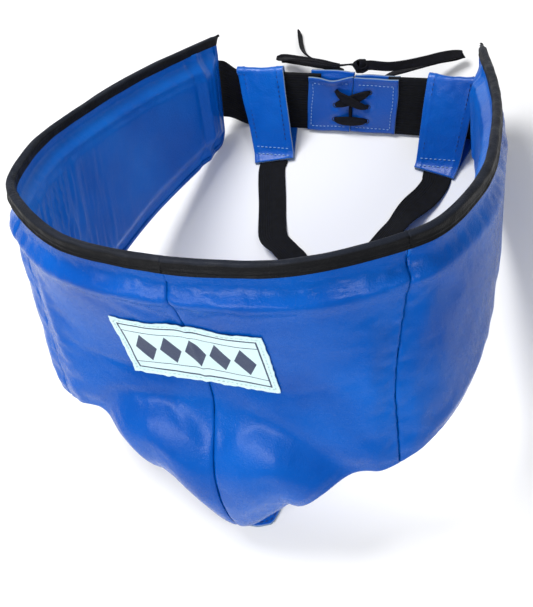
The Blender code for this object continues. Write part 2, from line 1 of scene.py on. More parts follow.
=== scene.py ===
"""Looks of the groin protector: leather, padding, binding, patch, webbing, lace and stitches.

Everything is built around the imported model, in its frame: +X is the wearer's left, +Y the wearer's
back, +Z up from the table. Lengths are in metres, and MM makes them from millimetres.

The padded shell is a lofted surface, as in the CAD. A point on it has a station t, counted from the
front centre (0) past the side seams (3) to the wing ends (9), and a drop, the distance down from the
rim. Every shell piece is laid out for the wearer's left and mirrored for the right.
"""
import math

import bmesh
import bpy
import numpy as np
from mathutils import Matrix, Vector


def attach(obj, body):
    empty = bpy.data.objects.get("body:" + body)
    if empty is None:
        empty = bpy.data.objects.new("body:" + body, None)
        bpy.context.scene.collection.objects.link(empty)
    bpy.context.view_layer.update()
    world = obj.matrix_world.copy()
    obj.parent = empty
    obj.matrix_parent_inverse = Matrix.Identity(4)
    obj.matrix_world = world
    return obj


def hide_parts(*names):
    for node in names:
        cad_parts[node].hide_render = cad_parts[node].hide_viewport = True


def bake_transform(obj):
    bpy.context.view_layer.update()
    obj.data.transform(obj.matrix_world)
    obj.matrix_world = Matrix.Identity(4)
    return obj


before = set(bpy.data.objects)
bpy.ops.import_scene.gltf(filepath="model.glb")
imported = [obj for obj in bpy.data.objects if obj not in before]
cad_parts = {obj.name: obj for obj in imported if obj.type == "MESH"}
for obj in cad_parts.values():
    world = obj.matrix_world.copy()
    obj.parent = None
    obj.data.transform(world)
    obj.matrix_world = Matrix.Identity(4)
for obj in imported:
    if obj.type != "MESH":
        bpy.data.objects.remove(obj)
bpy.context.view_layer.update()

MM = 0.001

# ---------------------------------------------------------------- the shell's own dimensions
# One row per station: rim half-breadth, rim depth, the same two 105 mm lower, rim drop, panel height.
STATIONS_MM = (
    (0.0, 0.0, 0.0, 25.0, 0.0, 150.0),
    (40.0, 3.3, 40.0, 25.5, 0.0, 150.0),
    (80.0, 15.7, 80.0, 28.0, 0.0, 150.0),
    (122.0, 46.8, 112.0, 35.0, 0.5, 146.0),
    (140.0, 75.0, 133.0, 62.0, 1.0, 141.0),
    (148.5, 120.0, 143.0, 112.0, 2.0, 132.0),
    (145.0, 167.0, 141.0, 165.0, 4.0, 121.0),
    (135.0, 224.0, 133.0, 222.0, 7.0, 109.0),
    (118.0, 281.0, 119.0, 279.0, 11.0, 97.0),
    (108.0, 312.0, 112.5, 309.0, 14.0, 87.0),
)
SIDE_SEAM = 3.0
WING_END = 9.0
LOW_LEVEL = 105.0 * MM
CORNER_ROUND = 12.0 * MM
END_STATION_LENGTH = 33.0 * MM
TIP_DROP = 240.0 * MM
TIP_SLOPE = 1.13
TIP_ROUND = 10.0 * MM
CORNER_BLEND = 6.0 * MM
CUP_EDGE_MARGIN = 0.2
SHOULDER_DROP = 112.0 * MM
SHOULDER_FALL = 40.0 * MM
SHOULDER_END = 88.0 * MM
SHOULDER_RUN = 80.0 * MM
BULGE_RISE = 0.45
BULGE_HALF_WIDTH = 98.0 * MM
BULGE_HEIGHT = 18.0 * MM
TIP_CURL = 26.0 * MM
FRONT_THICKNESS = 22.0 * MM
WING_THICKNESS = 15.0 * MM
RIM_THICKNESS = 7.2 * MM
# The front hangs unevenly: soft rises (below zero) and dips, each with its place across, reach and height.
SAGS_MM = ((-66.0, 27.0, -20.0), (-30.0, 18.0, -7.0), (30.0, 30.0, -3.0), (101.0, 19.0, 9.0))
PATCH_STATIONS = (-1.17, 1.16)
PATCH_DROPS = (48.5 * MM, 99.5 * MM)
PATCH_SIZE = (0.096, 0.051)       # as it is cut, in metres
REST_TILT = math.radians(27.88)
RIM_FRONT = np.array((0.0, -93.2, 232.1)) * MM

# The waistband, as it leans in the resting frame.
BAND_WIDTH = 50.0 * MM
BAND_THICKNESS = 1.6 * MM
BAND_BOTTOM = (146.3 * MM, 2.6 * MM)
BAND_LEAN = math.radians(21.5)
BAND_END_X = 104.5 * MM
BAND_END_SHIFTS = {
    "left": (np.array((0.0, -8.0, 0.0)) * MM, np.array((0.0, 0.0, 0.0)) * MM),
    "right": (np.array((0.0, -2.0, 12.0)) * MM, np.array((0.0, 4.5, 5.0)) * MM),
}
BAND_BENDS = {"left": (90.0 * MM, 13.0 * MM), "right": (88.0 * MM, 15.0 * MM)}
# Where each band would start to stretch as a wing opens, clear of its belt loop; the points found there are
# not used, so the band does not stretch.
BAND_STRETCHES = {"left": 96.0 * MM, "right": 84.0 * MM}
TAB_WIDTH = 35.5 * MM
TAB_SKEW = 9.0 * MM
TAB_CENTRE = 2.0 * MM
EYELET_ROWS = (11.0 * MM, 24.0 * MM, 37.0 * MM)
TAB_MARGIN = 0.3 * MM             # each tab stops this far from the middle
TAB_INSET = 0.4 * MM              # and this far from the band's edges
TAB_STANDOFF = 0.85 * MM
LOOP_CENTRES = {"left": 82.8 * MM, "right": -70.0 * MM}
LOOP_WIDTH = 38.5 * MM
LOOP_HEM_WIDTH = 32.0 * MM
LOOP_LEATHER = 1.8 * MM
LOOP_LEAN_IN = 12.0 * MM
LOOP_DEPTH = 33.0 * MM
STRAP_WIDTH = 22.0 * MM
STRAP_THICKNESS = 1.5 * MM
STRAP_ROUTES_MM = {
    "right": ((-58.3, 112.8), (-58.3, 105.0), (-51.0, 80.0), (-44.5, 57.0), (-38.0, 43.0), (-25.0, 33.0),
              (-15.0, 22.0), (-13.0, -5.0), (-14.0, -52.0), (-15.0, -99.5)),
    "left": ((73.3, 112.8), (73.3, 105.0), (68.5, 92.0), (61.0, 80.0), (54.5, 66.0), (47.0, 52.0),
             (38.0, 32.0), (26.0, -5.0), (18.5, -52.0), (15.0, -99.5)),
}
TAIL_OUTLINE_MM = ((-20.0, -158.0), (-17.0, -168.0), (-7.0, -172.0), (7.0, -172.0), (17.0, -168.0),
                   (20.0, -158.0), (30.0, -101.0), (-30.0, -101.0))
TAIL_THICKNESS = 2.4 * MM
KNOT_CENTRE_MM = (6.0, 180.3, 40.0)
KNOT_SIZE_MM = (11.0, 7.0, 9.0)
KNOT_EXIT_MM = 2.5
LACE_WIDTH = 7.4 * MM
LACE_THICKNESS = 1.3 * MM
LACING_REACH = 12.8 * MM
LACE_END_RIGHT_MM = (
    (-1.5, 180.8, 41.0), (-13.5, 180.5, 39.5), (-30.0, 185.0, 35.5), (-47.0, 191.5, 29.0),
    (-60.0, 197.0, 22.5), (-70.0, 202.0, 16.5), (-75.0, 205.5, 12.0), (-70.0, 206.5, 11.0),
    (-59.0, 202.0, 15.5), (-46.0, 195.5, 22.5), (-30.0, 188.5, 29.5), (-20.0, 185.0, 31.5),
    (-15.0, 186.5, 27.5), (-22.0, 191.5, 23.0), (-36.0, 199.0, 17.5), (-50.0, 208.5, 11.5),
    (-60.0, 219.0, 6.0), (-65.5, 230.0, 4.0), (-68.0, 237.0, 4.0), (-70.0, 241.0, 4.0),
)
LACE_END_LEFT_MM = (
    (13.5, 180.8, 41.0), (27.0, 182.5, 38.0), (38.5, 188.5, 33.5), (50.5, 198.5, 26.0),
    (61.0, 208.5, 19.0), (69.5, 215.0, 14.0), (74.0, 217.5, 9.5), (68.0, 213.5, 9.5),
    (58.0, 205.5, 14.5), (47.0, 196.5, 20.5), (36.5, 189.0, 25.0), (26.0, 186.0, 24.0),
    (15.0, 187.0, 15.0), (2.0, 190.8, 5.0), (-10.0, 194.8, 2.0), (-22.0, 196.8, 2.0), (-36.0, 198.8, 2.0),
)

# ---------------------------------------------------------------- camera, in the shell's own frame
CAMERA_AZIMUTH = math.radians(25.4)
CAMERA_ELEVATION = math.radians(36.3)
CAMERA_ROLL = math.radians(-8.4)
CAMERA_PLACE = Vector((245.0, -291.1, 668.6)) * MM
CAMERA_LENS = 61.9
CAMERA_SHIFT = (-0.0198, 0.0003)


def make_camera():
    azimuth, elevation = CAMERA_AZIMUTH, CAMERA_ELEVATION
    back = Vector((math.sin(azimuth) * math.cos(elevation),
                   -math.cos(azimuth) * math.cos(elevation), math.sin(elevation)))
    right = Vector((math.cos(azimuth), math.sin(azimuth), 0.0))
    up = back.cross(right)
    turned_right = right * math.cos(CAMERA_ROLL) + up * math.sin(CAMERA_ROLL)
    turned_up = up * math.cos(CAMERA_ROLL) - right * math.sin(CAMERA_ROLL)
    axes = Matrix((turned_right, turned_up, back)).transposed().to_4x4()
    data = bpy.data.cameras.new("camera")
    data.sensor_width = 36.0
    data.lens = CAMERA_LENS
    data.shift_x, data.shift_y = CAMERA_SHIFT
    data.clip_start = 0.05
    camera = bpy.data.objects.new("camera", data)
    bpy.context.scene.collection.objects.link(camera)
    camera.matrix_world = Matrix.Translation(CAMERA_PLACE) @ Matrix.Rotation(-REST_TILT, 4, "X") @ axes
    bpy.context.scene.camera = camera


# ---------------------------------------------------------------- mesh helpers
LATTICE = np.random.default_rng(7).uniform(-1.0, 1.0, (256, 256))


def noise(x, y, shift=0.0):
    """Smooth random waves between -1 and 1, one cell a unit wide."""
    x = np.asarray(x, float) + 37.3 * shift
    y = np.asarray(y, float) + 11.9 * shift
    x, y = np.broadcast_arrays(x, y)
    i, j = np.floor(x).astype(int), np.floor(y).astype(int)
    a, b = x - i, y - j
    a, b = a * a * (3.0 - 2.0 * a), b * b * (3.0 - 2.0 * b)
    near = LATTICE[i % 256, j % 256] * (1.0 - a) + LATTICE[(i + 1) % 256, j % 256] * a
    far = LATTICE[i % 256, (j + 1) % 256] * (1.0 - a) + LATTICE[(i + 1) % 256, (j + 1) % 256] * a
    return near * (1.0 - b) + far * b


def crease(x, y, width, shift=0.0):
    """1 along thin winding lines and 0 away from them."""
    return np.clip(1.0 - np.abs(noise(x, y, shift)) / width, 0.0, 1.0) ** 1.5


def ramp(value):
    value = np.clip(value, 0.0, 1.0)
    return value * value * (3.0 - 2.0 * value)


def bell(distance, width):
    return np.exp(-(distance / width) ** 2)


def repeated(vector, count):
    """The same vector at each of a line's points."""
    return np.tile(np.asarray(vector, float), (count, 1))


def unit(vectors):
    length = np.linalg.norm(vectors, axis=-1, keepdims=True)
    return vectors / np.maximum(length, 1e-12)


def grid_faces(columns, rows):
    """Quads of a grid of points numbered column by column."""
    i, j = np.meshgrid(np.arange(columns), np.arange(rows), indexing="ij")
    a = i * (rows + 1) + j
    return np.stack((a, a + 1, a + rows + 2, a + rows + 1), -1).reshape(-1, 4)


def share_grid(columns, rows):
    """Shares from 0 to 1 across the columns and down the rows of a grid."""
    return np.meshgrid(np.linspace(0, 1, columns + 1), np.linspace(0, 1, rows + 1), indexing="ij")


def between(ends, share):
    """The place between two ends that a share from 0 to 1 gives."""
    return ends[0] + (ends[1] - ends[0]) * share


def make_mesh(name, points, faces, materials, face_slots=None, attributes=None):
    mesh = bpy.data.meshes.new(name)
    mesh.from_pydata(np.asarray(points).reshape(-1, 3).tolist(), [], [list(map(int, f)) for f in faces])
    for material in materials:
        mesh.materials.append(material)
    if face_slots is not None:
        mesh.polygons.foreach_set("material_index", np.asarray(face_slots, np.int32))
    for key, values in (attributes or {}).items():
        mesh.attributes.new(key, "FLOAT", "POINT").data.foreach_set(
            "value", np.asarray(values, np.float32).ravel())
    mesh.validate()
    mesh.shade_smooth()
    made = bpy.data.objects.new(name, mesh)
    bpy.context.scene.collection.objects.link(made)
    return made


def thicken(piece, thickness, offset=-1.0, rim_slot=0):
    solid = piece.modifiers.new("thickness", "SOLIDIFY")
    solid.thickness = thickness
    solid.offset = offset
    solid.material_offset_rim = rim_slot
    return piece


def smooth_route(points_mm, spacing):
    """Points on a smooth curve through the route's points, about evenly spaced."""
    knots = np.array(points_mm, float) * MM
    knots = np.vstack((2.0 * knots[0] - knots[1], knots, 2.0 * knots[-1] - knots[-2]))
    route = []
    for a, b, c, d in zip(knots, knots[1:], knots[2:], knots[3:]):
        pieces = max(1, round(float(np.linalg.norm(c - b)) / spacing))
        for s in np.arange(pieces) / pieces:
            route.append(0.5 * (2.0 * b + (c - a) * s + (2.0 * a - 5.0 * b + 4.0 * c - d) * s * s
                                + (3.0 * b - a - 3.0 * c + d) * s ** 3))
    route.append(knots[-2])
    return np.array(route)


def along_route(route):
    steps = np.linalg.norm(np.diff(route, axis=0), axis=1)
    return np.concatenate(([0.0], np.cumsum(steps)))


def strip(name, route, across, widths, thickness, materials, columns=8, relief=None, edge_slot=0,
          rounding=0.35):
    """A closed flat strip along a route: webbing, lace or a leather strap.

    across is the unit direction of its width at each point. relief(along, side) lifts both faces."""
    route = np.asarray(route, float)
    tangent = unit(np.gradient(route, axis=0))
    across = unit(across - (across * tangent).sum(-1, keepdims=True) * tangent)
    up = np.cross(across, tangent)
    along = along_route(route)
    widths = np.broadcast_to(np.asarray(widths, float), along.shape)
    half = 0.5 * thickness
    corner = rounding * half
    side = np.linspace(-1.0, 1.0, columns + 1)
    ring_side = np.concatenate((side, [1.0], side[::-1], [-1.0]))
    ring_up = np.concatenate((np.full(columns + 1, half), [0.0], np.full(columns + 1, -half), [0.0]))
    inset = np.where(np.isclose(np.abs(ring_side), 1.0) & (ring_up != 0.0), corner, 0.0)
    count = len(ring_side)
    points = np.zeros((len(route), count, 3))
    for k in range(count):
        shift = ring_side[k] * (0.5 * widths - inset[k])
        lift = ring_up[k] * np.ones_like(along)
        if relief:
            lift = lift + relief(along, np.full_like(along, ring_side[k]))
        points[:, k] = route + across * shift[:, None] + up * lift[:, None]
    i, k = np.meshgrid(np.arange(len(route) - 1), np.arange(count), indexing="ij")
    a = i * count + k
    b = i * count + (k + 1) % count
    faces = np.stack((a, a + count, b + count, b), -1).reshape(-1, 4)[:, ::-1]
    on_edge = np.isin(k.ravel(), (columns, columns + 1, 2 * columns + 2, 2 * columns + 3))
    slots = np.where(on_edge, edge_slot, 0)
    last = (len(route) - 1) * count
    caps = [list(range(count)), list(range(last, last + count))[::-1]]
    all_faces = faces.tolist() + caps
    all_slots = np.concatenate((slots, [edge_slot, edge_slot]))
    attributes = {
        "along": np.repeat(along, count),
        "side": np.tile(ring_side, len(route)) * np.repeat(0.5 * widths, count),
    }
    return make_mesh(name, points, all_faces, materials, all_slots, attributes)


def stitches(name, line, normals, material, length=2.6 * MM, gap=1.1 * MM, radius=0.38 * MM):
    """A row of thread stitches along a line, each a small bead that dips in at its ends."""
    along = along_route(line)
    count = max(1, int(along[-1] / (length + gap)))
    pitch = along[-1] / count
    rings, sides = 5, 6
    points, faces = [], []
    for n in range(count):
        s = (n + 0.5) * pitch + np.linspace(-0.5, 0.5, rings) * length
        place = np.stack([np.interp(s, along, line[:, c]) for c in range(3)], -1)
        up = unit(np.stack([np.interp(s, along, normals[:, c]) for c in range(3)], -1))
        side_way = unit(np.cross(up, unit(np.gradient(place, axis=0))))
        full = np.sqrt(np.clip(1.0 - np.linspace(-0.96, 0.96, rings) ** 2, 0.0, 1.0))
        first = len(points)
        for r in range(rings):
            for a in np.arange(sides) * 2.0 * math.pi / sides:
                lift = radius * full[r] * (0.9 * math.sin(a) + 0.35)
                points.append(place[r] + up[r] * lift + side_way[r] * radius * full[r] * math.cos(a))
        for r in range(rings - 1):
            for c in range(sides):
                low, high = first + r * sides, first + (r + 1) * sides
                faces.append((low + c, low + (c + 1) % sides, high + (c + 1) % sides, high + c))
        faces.append(tuple(first + c for c in range(sides))[::-1])
        faces.append(tuple(first + (rings - 1) * sides + c for c in range(sides)))
    made = make_mesh(name, np.array(points), faces, [material])
    tidy = bmesh.new()
    tidy.from_mesh(made.data)
    bmesh.ops.recalc_face_normals(tidy, faces=tidy.faces)
    tidy.to_mesh(made.data)
    tidy.free()
    return made


# ---------------------------------------------------------------- the shell's surface
def spline_through(values, odd):
    """A natural cubic spline through the stations and their mirror images."""
    half = np.array(values, float) * MM
    heights = np.concatenate((-half[:0:-1] if odd else half[:0:-1], half))
    count = len(heights)
    system = np.eye(count)
    right = np.zeros(count)
    for i in range(1, count - 1):
        system[i, i - 1:i + 2] = (1.0, 4.0, 1.0)
        right[i] = 6.0 * (heights[i + 1] - 2.0 * heights[i] + heights[i - 1])
    bends = np.linalg.solve(system, right)
    first = -(len(half) - 1)

    def evaluate(t):
        place = np.clip(np.asarray(t, float) - first, 0.0, count - 1.0)
        i = np.minimum(place.astype(int), count - 2)
        b = place - i
        a = 1.0 - b
        line = a * heights[i] + b * heights[i + 1]
        return line + ((a ** 3 - a) * bends[i] + (b ** 3 - b) * bends[i + 1]) / 6.0
    return evaluate


COLUMNS = list(zip(*STATIONS_MM))
RIM_X = spline_through(COLUMNS[0], odd=True)
RIM_Y = spline_through(COLUMNS[1], odd=False)
LOW_X = spline_through(COLUMNS[2], odd=True)
LOW_Y = spline_through(COLUMNS[3], odd=False)
RIM_FALL = spline_through(COLUMNS[4], odd=False)
PANEL_HEIGHT = spline_through(COLUMNS[5], odd=False)


def shell_height(t):
    t = np.asarray(t, float)
    to_end = (WING_END - np.abs(t)) * END_STATION_LENGTH
    inset = CORNER_ROUND - np.clip(to_end, 0.0, CORNER_ROUND)
    band = PANEL_HEIGHT(t) - (CORNER_ROUND - np.sqrt(CORNER_ROUND ** 2 - inset ** 2))
    x = np.abs(LOW_X(t))
    cup = TIP_DROP - TIP_SLOPE * (np.hypot(x, TIP_ROUND) - TIP_ROUND)
    joined = CORNER_BLEND * np.logaddexp(cup / CORNER_BLEND, band / CORNER_BLEND)
    return np.where(np.abs(t) > SIDE_SEAM + CUP_EDGE_MARGIN, band, joined)


def surface(t, drop):
    """A point of the outer surface in the shell's own frame."""
    w = ramp(drop / LOW_LEVEL)
    x = RIM_X(t) * (1.0 - w) + LOW_X(t) * w
    y = RIM_Y(t) * (1.0 - w) + LOW_Y(t) * w
    reach = np.minimum(np.abs(x) / BULGE_HALF_WIDTH, 1.0)
    shoulder = SHOULDER_DROP + SHOULDER_FALL * (np.abs(x) / SHOULDER_END) ** 1.6
    run = np.maximum(shell_height(t) - shoulder, SHOULDER_RUN)
    along = np.maximum((drop - shoulder) / run, 0.0)
    past_rise = np.maximum((along - BULGE_RISE) / (1.0 - BULGE_RISE), 0.0)
    y = y - BULGE_HEIGHT * (1.0 - reach ** 2) * ramp(along / BULGE_RISE)
    y = y + TIP_CURL * past_rise ** 2.2 * (1.0 - reach ** 2) ** 1.5
    return np.stack((x, y, -RIM_FALL(t) - drop), -1)


def to_world(points):
    c, s = math.cos(REST_TILT), math.sin(REST_TILT)
    x, y, z = points[..., 0], points[..., 1], points[..., 2]
    return np.stack((x, c * y + s * z, c * z - s * y), -1)


def shell_frame(t, drop):
    """World place, direction along the stations, direction down and outward direction."""
    t, drop = np.broadcast_arrays(np.asarray(t, float), np.asarray(drop, float))
    step, small = 0.01, 0.5 * MM
    sideways = unit(to_world(surface(t + step, drop) - surface(t - step, drop)))
    downwards = unit(to_world(surface(t, drop + small) - surface(t, drop - small)))
    outward = unit(np.cross(downwards, sideways))
    return to_world(surface(t, drop)) + RIM_FRONT, sideways, downwards, outward


def shell_point(t, drop, depth):
    place, _, _, outward = shell_frame(t, drop)
    return place - outward * np.asarray(depth)[..., None]


ARC_DROP = 60.0 * MM             # lengths along the shell are measured this far below the rim
ARC_STATIONS = np.linspace(0.0, WING_END, 361)
ARC_POINTS = surface(ARC_STATIONS, np.full_like(ARC_STATIONS, ARC_DROP))
ARC_LENGTHS = along_route(ARC_POINTS)
SEAM_ARC = float(np.interp(SIDE_SEAM, ARC_STATIONS, ARC_LENGTHS))
END_ARC = float(ARC_LENGTHS[-1])


def arc(t):
    """Length along the shell from the front centre."""
    return np.interp(np.abs(t), ARC_STATIONS, ARC_LENGTHS)


def station(length):
    return np.interp(length, ARC_LENGTHS, ARC_STATIONS)


# ---------------------------------------------------------------- relief of the leather
PAD_START = 15.0 * MM            # the padding's upper edge, outside
PAD_RISE = 9.0 * MM
BORDER_RECESS = 3.0 * MM


def outer_depth(t, drop):
    """How far the outer leather lies under the shell's surface: seams, padding edge and folds."""
    s = arc(t)
    height = shell_height(t)
    to_edge = height - drop
    depth = BORDER_RECESS * (1.0 - ramp((drop - PAD_START) / PAD_RISE))
    from_seam = s - SEAM_ARC
    on_wing = ramp(from_seam / (30.0 * MM))
    depth -= (2.5 - 1.4 * on_wing) * MM * bell(drop - 25.0 * MM, 5.5 * MM)
    depth += 1.6 * MM * (1.0 - ramp(to_edge / (13.0 * MM)))
    depth += 1.3 * MM * bell(from_seam, 1.1 * MM) + 1.1 * MM * bell(from_seam, 8.0 * MM)
    below = ramp((drop - 98.0 * MM) / (26.0 * MM)) * ramp(to_edge / (75.0 * MM))
    depth += 1.1 * MM * bell(s, 1.1 * MM) * ramp((drop - 12.0 * MM) / (6.0 * MM))
    depth += (0.5 + 2.4 * below) * MM * bell(s, 13.0 * MM)
    lobe = bell(s - 42.0 * MM, 34.0 * MM) * bell(drop - 132.0 * MM, 16.0 * MM)
    depth -= 1.2 * MM * lobe
    depth -= 0.9 * MM * bell(from_seam + 17.0 * MM, 6.0 * MM) * ramp((drop - 30.0 * MM) / (20.0 * MM))
    depth -= 0.8 * MM * bell(from_seam - 13.0 * MM, 6.0 * MM) * ramp((drop - 30.0 * MM) / (20.0 * MM))
    depth += wing_end_relief(s, drop)
    return depth


def wing_end_relief(s, drop):
    """The flat, sewn strip at each wing's rear end."""
    to_end = END_ARC - s
    return 1.6 * MM * (1.0 - ramp((to_end - 16.0 * MM) / (9.0 * MM))) * ramp(drop / (8.0 * MM))


def outer_wrinkles(t, drop, seed):
    """Fine creases of the outer leather, deepest at the padding's edge and at the seams."""
    s = arc(t)
    to_edge = shell_height(t) - drop
    edge = bell(drop - 17.0 * MM, 10.0 * MM)
    seam = bell(s - SEAM_ARC, 16.0 * MM) + 0.3 * bell(to_edge, 12.0 * MM) + 0.4 * bell(s, 7.0 * MM)
    fine = 0.36 * MM * noise(s / (4.2 * MM), drop / (6.0 * MM), seed) * edge
    fine += 0.50 * MM * crease(s / (15.0 * MM), drop / (4.2 * MM), 0.2, seed + 1) * edge
    fine += 0.50 * MM * noise(s / (9.0 * MM), drop / (4.2 * MM), seed + 2) * seam
    broad = 0.4 * MM * noise(s / (46.0 * MM), drop / (34.0 * MM), seed + 3)
    broad += 0.2 * MM * noise(s / (19.0 * MM), drop / (15.0 * MM), seed + 4)
    lines = crease((s + 0.5 * drop) / (24.0 * MM), (drop - 0.4 * s) / (60.0 * MM), 0.2, seed + 5)
    wing = ramp((s - SEAM_ARC - 4.0 * MM) / (20.0 * MM))
    fan = 0.35 * MM * crease((s - 0.35 * drop) / (17.0 * MM), drop / (85.0 * MM), 0.22, seed + 6)
    return fine + broad + 0.12 * MM * lines + fan * wing * bell(s - SEAM_ARC - 45.0 * MM, 45.0 * MM)


def inner_depth(t, drop):
    """How far the lining's face lies under the shell's outer surface."""
    t = np.abs(np.asarray(t, float))
    s = arc(t)
    to_end = END_ARC - s
    to_edge = shell_height(t) - drop
    wing = ramp(t - SIDE_SEAM + 0.5)
    full = FRONT_THICKNESS + (WING_THICKNESS - FRONT_THICKNESS) * wing
    from_edge = np.minimum(np.minimum(drop, to_edge), to_end + 6.0 * MM)
    pad = ramp((from_edge - 9.0 * MM) / (16.0 * MM))
    depth = RIM_THICKNESS + (full - RIM_THICKNESS) * pad
    welt = bell(drop - 16.5 * MM, 3.2 * MM) * (0.5 + 0.5 * ramp((s - SEAM_ARC - 40.0 * MM) / (60.0 * MM)))
    depth += 2.5 * MM * welt * wing * ramp((to_end - 20.0 * MM) / (10.0 * MM))
    depth += 1.5 * MM * bell(to_end - 26.0 * MM, 3.0 * MM) - 1.2 * MM * bell(to_end - 17.0 * MM, 2.6 * MM)
    depth -= 1.0 * MM * bell(to_end - 35.0 * MM, 2.6 * MM)
    depth -= 1.6 * MM * bell(s - SEAM_ARC, 2.0 * MM) + 1.2 * MM * bell(s - SEAM_ARC, 10.0 * MM)
    return depth


def inner_wrinkles(t, drop, seed):
    s = arc(t)
    bend = bell(s - SEAM_ARC - 62.0 * MM, 50.0 * MM) * ramp((drop - 18.0 * MM) / (12.0 * MM))
    slant = s + 0.16 * drop
    depth = 1.2 * MM * noise(slant / (3.4 * MM), drop / (24.0 * MM), seed) * bend
    depth += 1.1 * MM * crease(slant / (7.5 * MM), drop / (45.0 * MM), 0.3, seed + 1) * bend
    depth += 0.35 * MM * noise(s / (5.0 * MM), drop / (7.0 * MM), seed + 8) * bell(drop - 14.0 * MM, 9.0 * MM)
    depth += 0.6 * MM * noise(s / (42.0 * MM), drop / (30.0 * MM), seed + 2)
    depth += 0.18 * MM * noise(s / (11.0 * MM), drop / (9.0 * MM), seed + 3)
    return depth


# ---------------------------------------------------------------- materials
def new_material(name, roughness=0.5, metallic=0.0):
    material = bpy.data.materials.new(name)
    material.use_nodes = True
    tree = material.node_tree
    shader = tree.nodes["Principled BSDF"]
    shader.inputs["Roughness"].default_value = roughness
    shader.inputs["Metallic"].default_value = metallic
    return material, tree, shader


def node(tree, kind, **settings):
    made = tree.nodes.new(kind)
    for key, value in settings.items():
        if key in made.inputs:
            made.inputs[key].default_value = value
        else:
            setattr(made, key, value)
    return made


def object_place(tree):
    return node(tree, "ShaderNodeTexCoord").outputs["Object"]


def noise_texture(tree, scale, detail=2.0, rough=0.5):
    texture = node(tree, "ShaderNodeTexNoise", Scale=scale, Detail=detail, Roughness=rough)
    tree.links.new(object_place(tree), texture.inputs["Vector"])
    return texture.outputs["Fac"]


def mix_colours(tree, factor, low, high, span=(0.35, 0.65)):
    """A colour that runs from low to high as factor crosses span."""
    colours = node(tree, "ShaderNodeValToRGB")
    colours.color_ramp.elements[0].position = span[0]
    colours.color_ramp.elements[1].position = span[1]
    colours.color_ramp.elements[0].color = (*low, 1.0)
    colours.color_ramp.elements[1].color = (*high, 1.0)
    tree.links.new(factor, colours.inputs["Fac"])
    return colours.outputs["Color"]


def map_value(tree, value, low, high, from_low=0.0, from_high=1.0):
    mapped = node(tree, "ShaderNodeMapRange")
    mapped.inputs["From Min"].default_value = from_low
    mapped.inputs["From Max"].default_value = from_high
    mapped.inputs["To Min"].default_value = low
    mapped.inputs["To Max"].default_value = high
    tree.links.new(value, mapped.inputs["Value"])
    return mapped.outputs["Result"]


def add_bump(tree, shader, height, strength, distance, before=None):
    bump = node(tree, "ShaderNodeBump", Strength=strength, Distance=distance)
    tree.links.new(height, bump.inputs["Height"])
    if before:
        tree.links.new(before, bump.inputs["Normal"])
    tree.links.new(bump.outputs["Normal"], shader.inputs["Normal"])
    return bump.outputs["Normal"]


def attribute_value(tree, name):
    return node(tree, "ShaderNodeAttribute", attribute_name=name).outputs["Fac"]


def leather(name, dark, light, roughness, coat=0.10, grain=0.4, shine=0.14):
    """Coated leather: pebbled grain, fine creases, slow colour changes and worn spots."""
    material, tree, shader = new_material(name)
    cells = node(tree, "ShaderNodeTexVoronoi", Scale=950.0)
    tree.links.new(object_place(tree), cells.inputs["Vector"])
    slow = noise_texture(tree, 16.0, 4.0)
    colour = mix_colours(tree, slow, dark, light, (0.30, 0.72))
    tree.links.new(colour, shader.inputs["Base Color"])
    scuffs = noise_texture(tree, 70.0, 6.0, rough=0.7)
    tree.links.new(map_value(tree, scuffs, roughness - 0.07, roughness + 0.10, 0.3, 0.7),
                   shader.inputs["Roughness"])
    skin = add_bump(tree, shader, cells.outputs["Distance"], grain, 0.0003)
    fine = noise_texture(tree, 420.0, 5.0, rough=0.65)
    skin = add_bump(tree, shader, fine, 0.45, 0.0006, skin)
    add_bump(tree, shader, noise_texture(tree, 120.0, 2.0), 0.16, 0.0010, skin)
    shader.inputs["Coat Weight"].default_value = coat
    shader.inputs["Coat Roughness"].default_value = 0.20
    shader.inputs["Specular IOR Level"].default_value = shine
    return material


def webbing(name, rib, colour=(0.0022, 0.0024, 0.0034)):
    """Woven elastic: ribs along its length with a finer cross weave."""
    material, tree, shader = new_material(name, 0.82)
    along, side = attribute_value(tree, "along"), attribute_value(tree, "side")
    lengthwise = node(tree, "ShaderNodeMath", operation="SINE")
    crosswise = node(tree, "ShaderNodeMath", operation="SINE")
    tree.links.new(map_value(tree, side, 0.0, 2.0 * math.pi / rib), lengthwise.inputs[0])
    tree.links.new(map_value(tree, along, 0.0, 2.0 * math.pi / (0.7 * MM)), crosswise.inputs[0])
    weave = node(tree, "ShaderNodeMath", operation="MULTIPLY_ADD")
    tree.links.new(crosswise.outputs[0], weave.inputs[0])
    weave.inputs[1].default_value = 0.45
    tree.links.new(lengthwise.outputs[0], weave.inputs[2])
    lighter = tuple(2.6 * c for c in colour)
    fluff = noise_texture(tree, 260.0, 5.0)
    tree.links.new(mix_colours(tree, fluff, colour, lighter, (0.35, 0.8)), shader.inputs["Base Color"])
    for_ribs = add_bump(tree, shader, weave.outputs[0], 0.5, 0.0003)
    add_bump(tree, shader, noise_texture(tree, 700.0, 3.0), 0.25, 0.0003, for_ribs)
    shader.inputs["Specular IOR Level"].default_value = 0.22
    return material


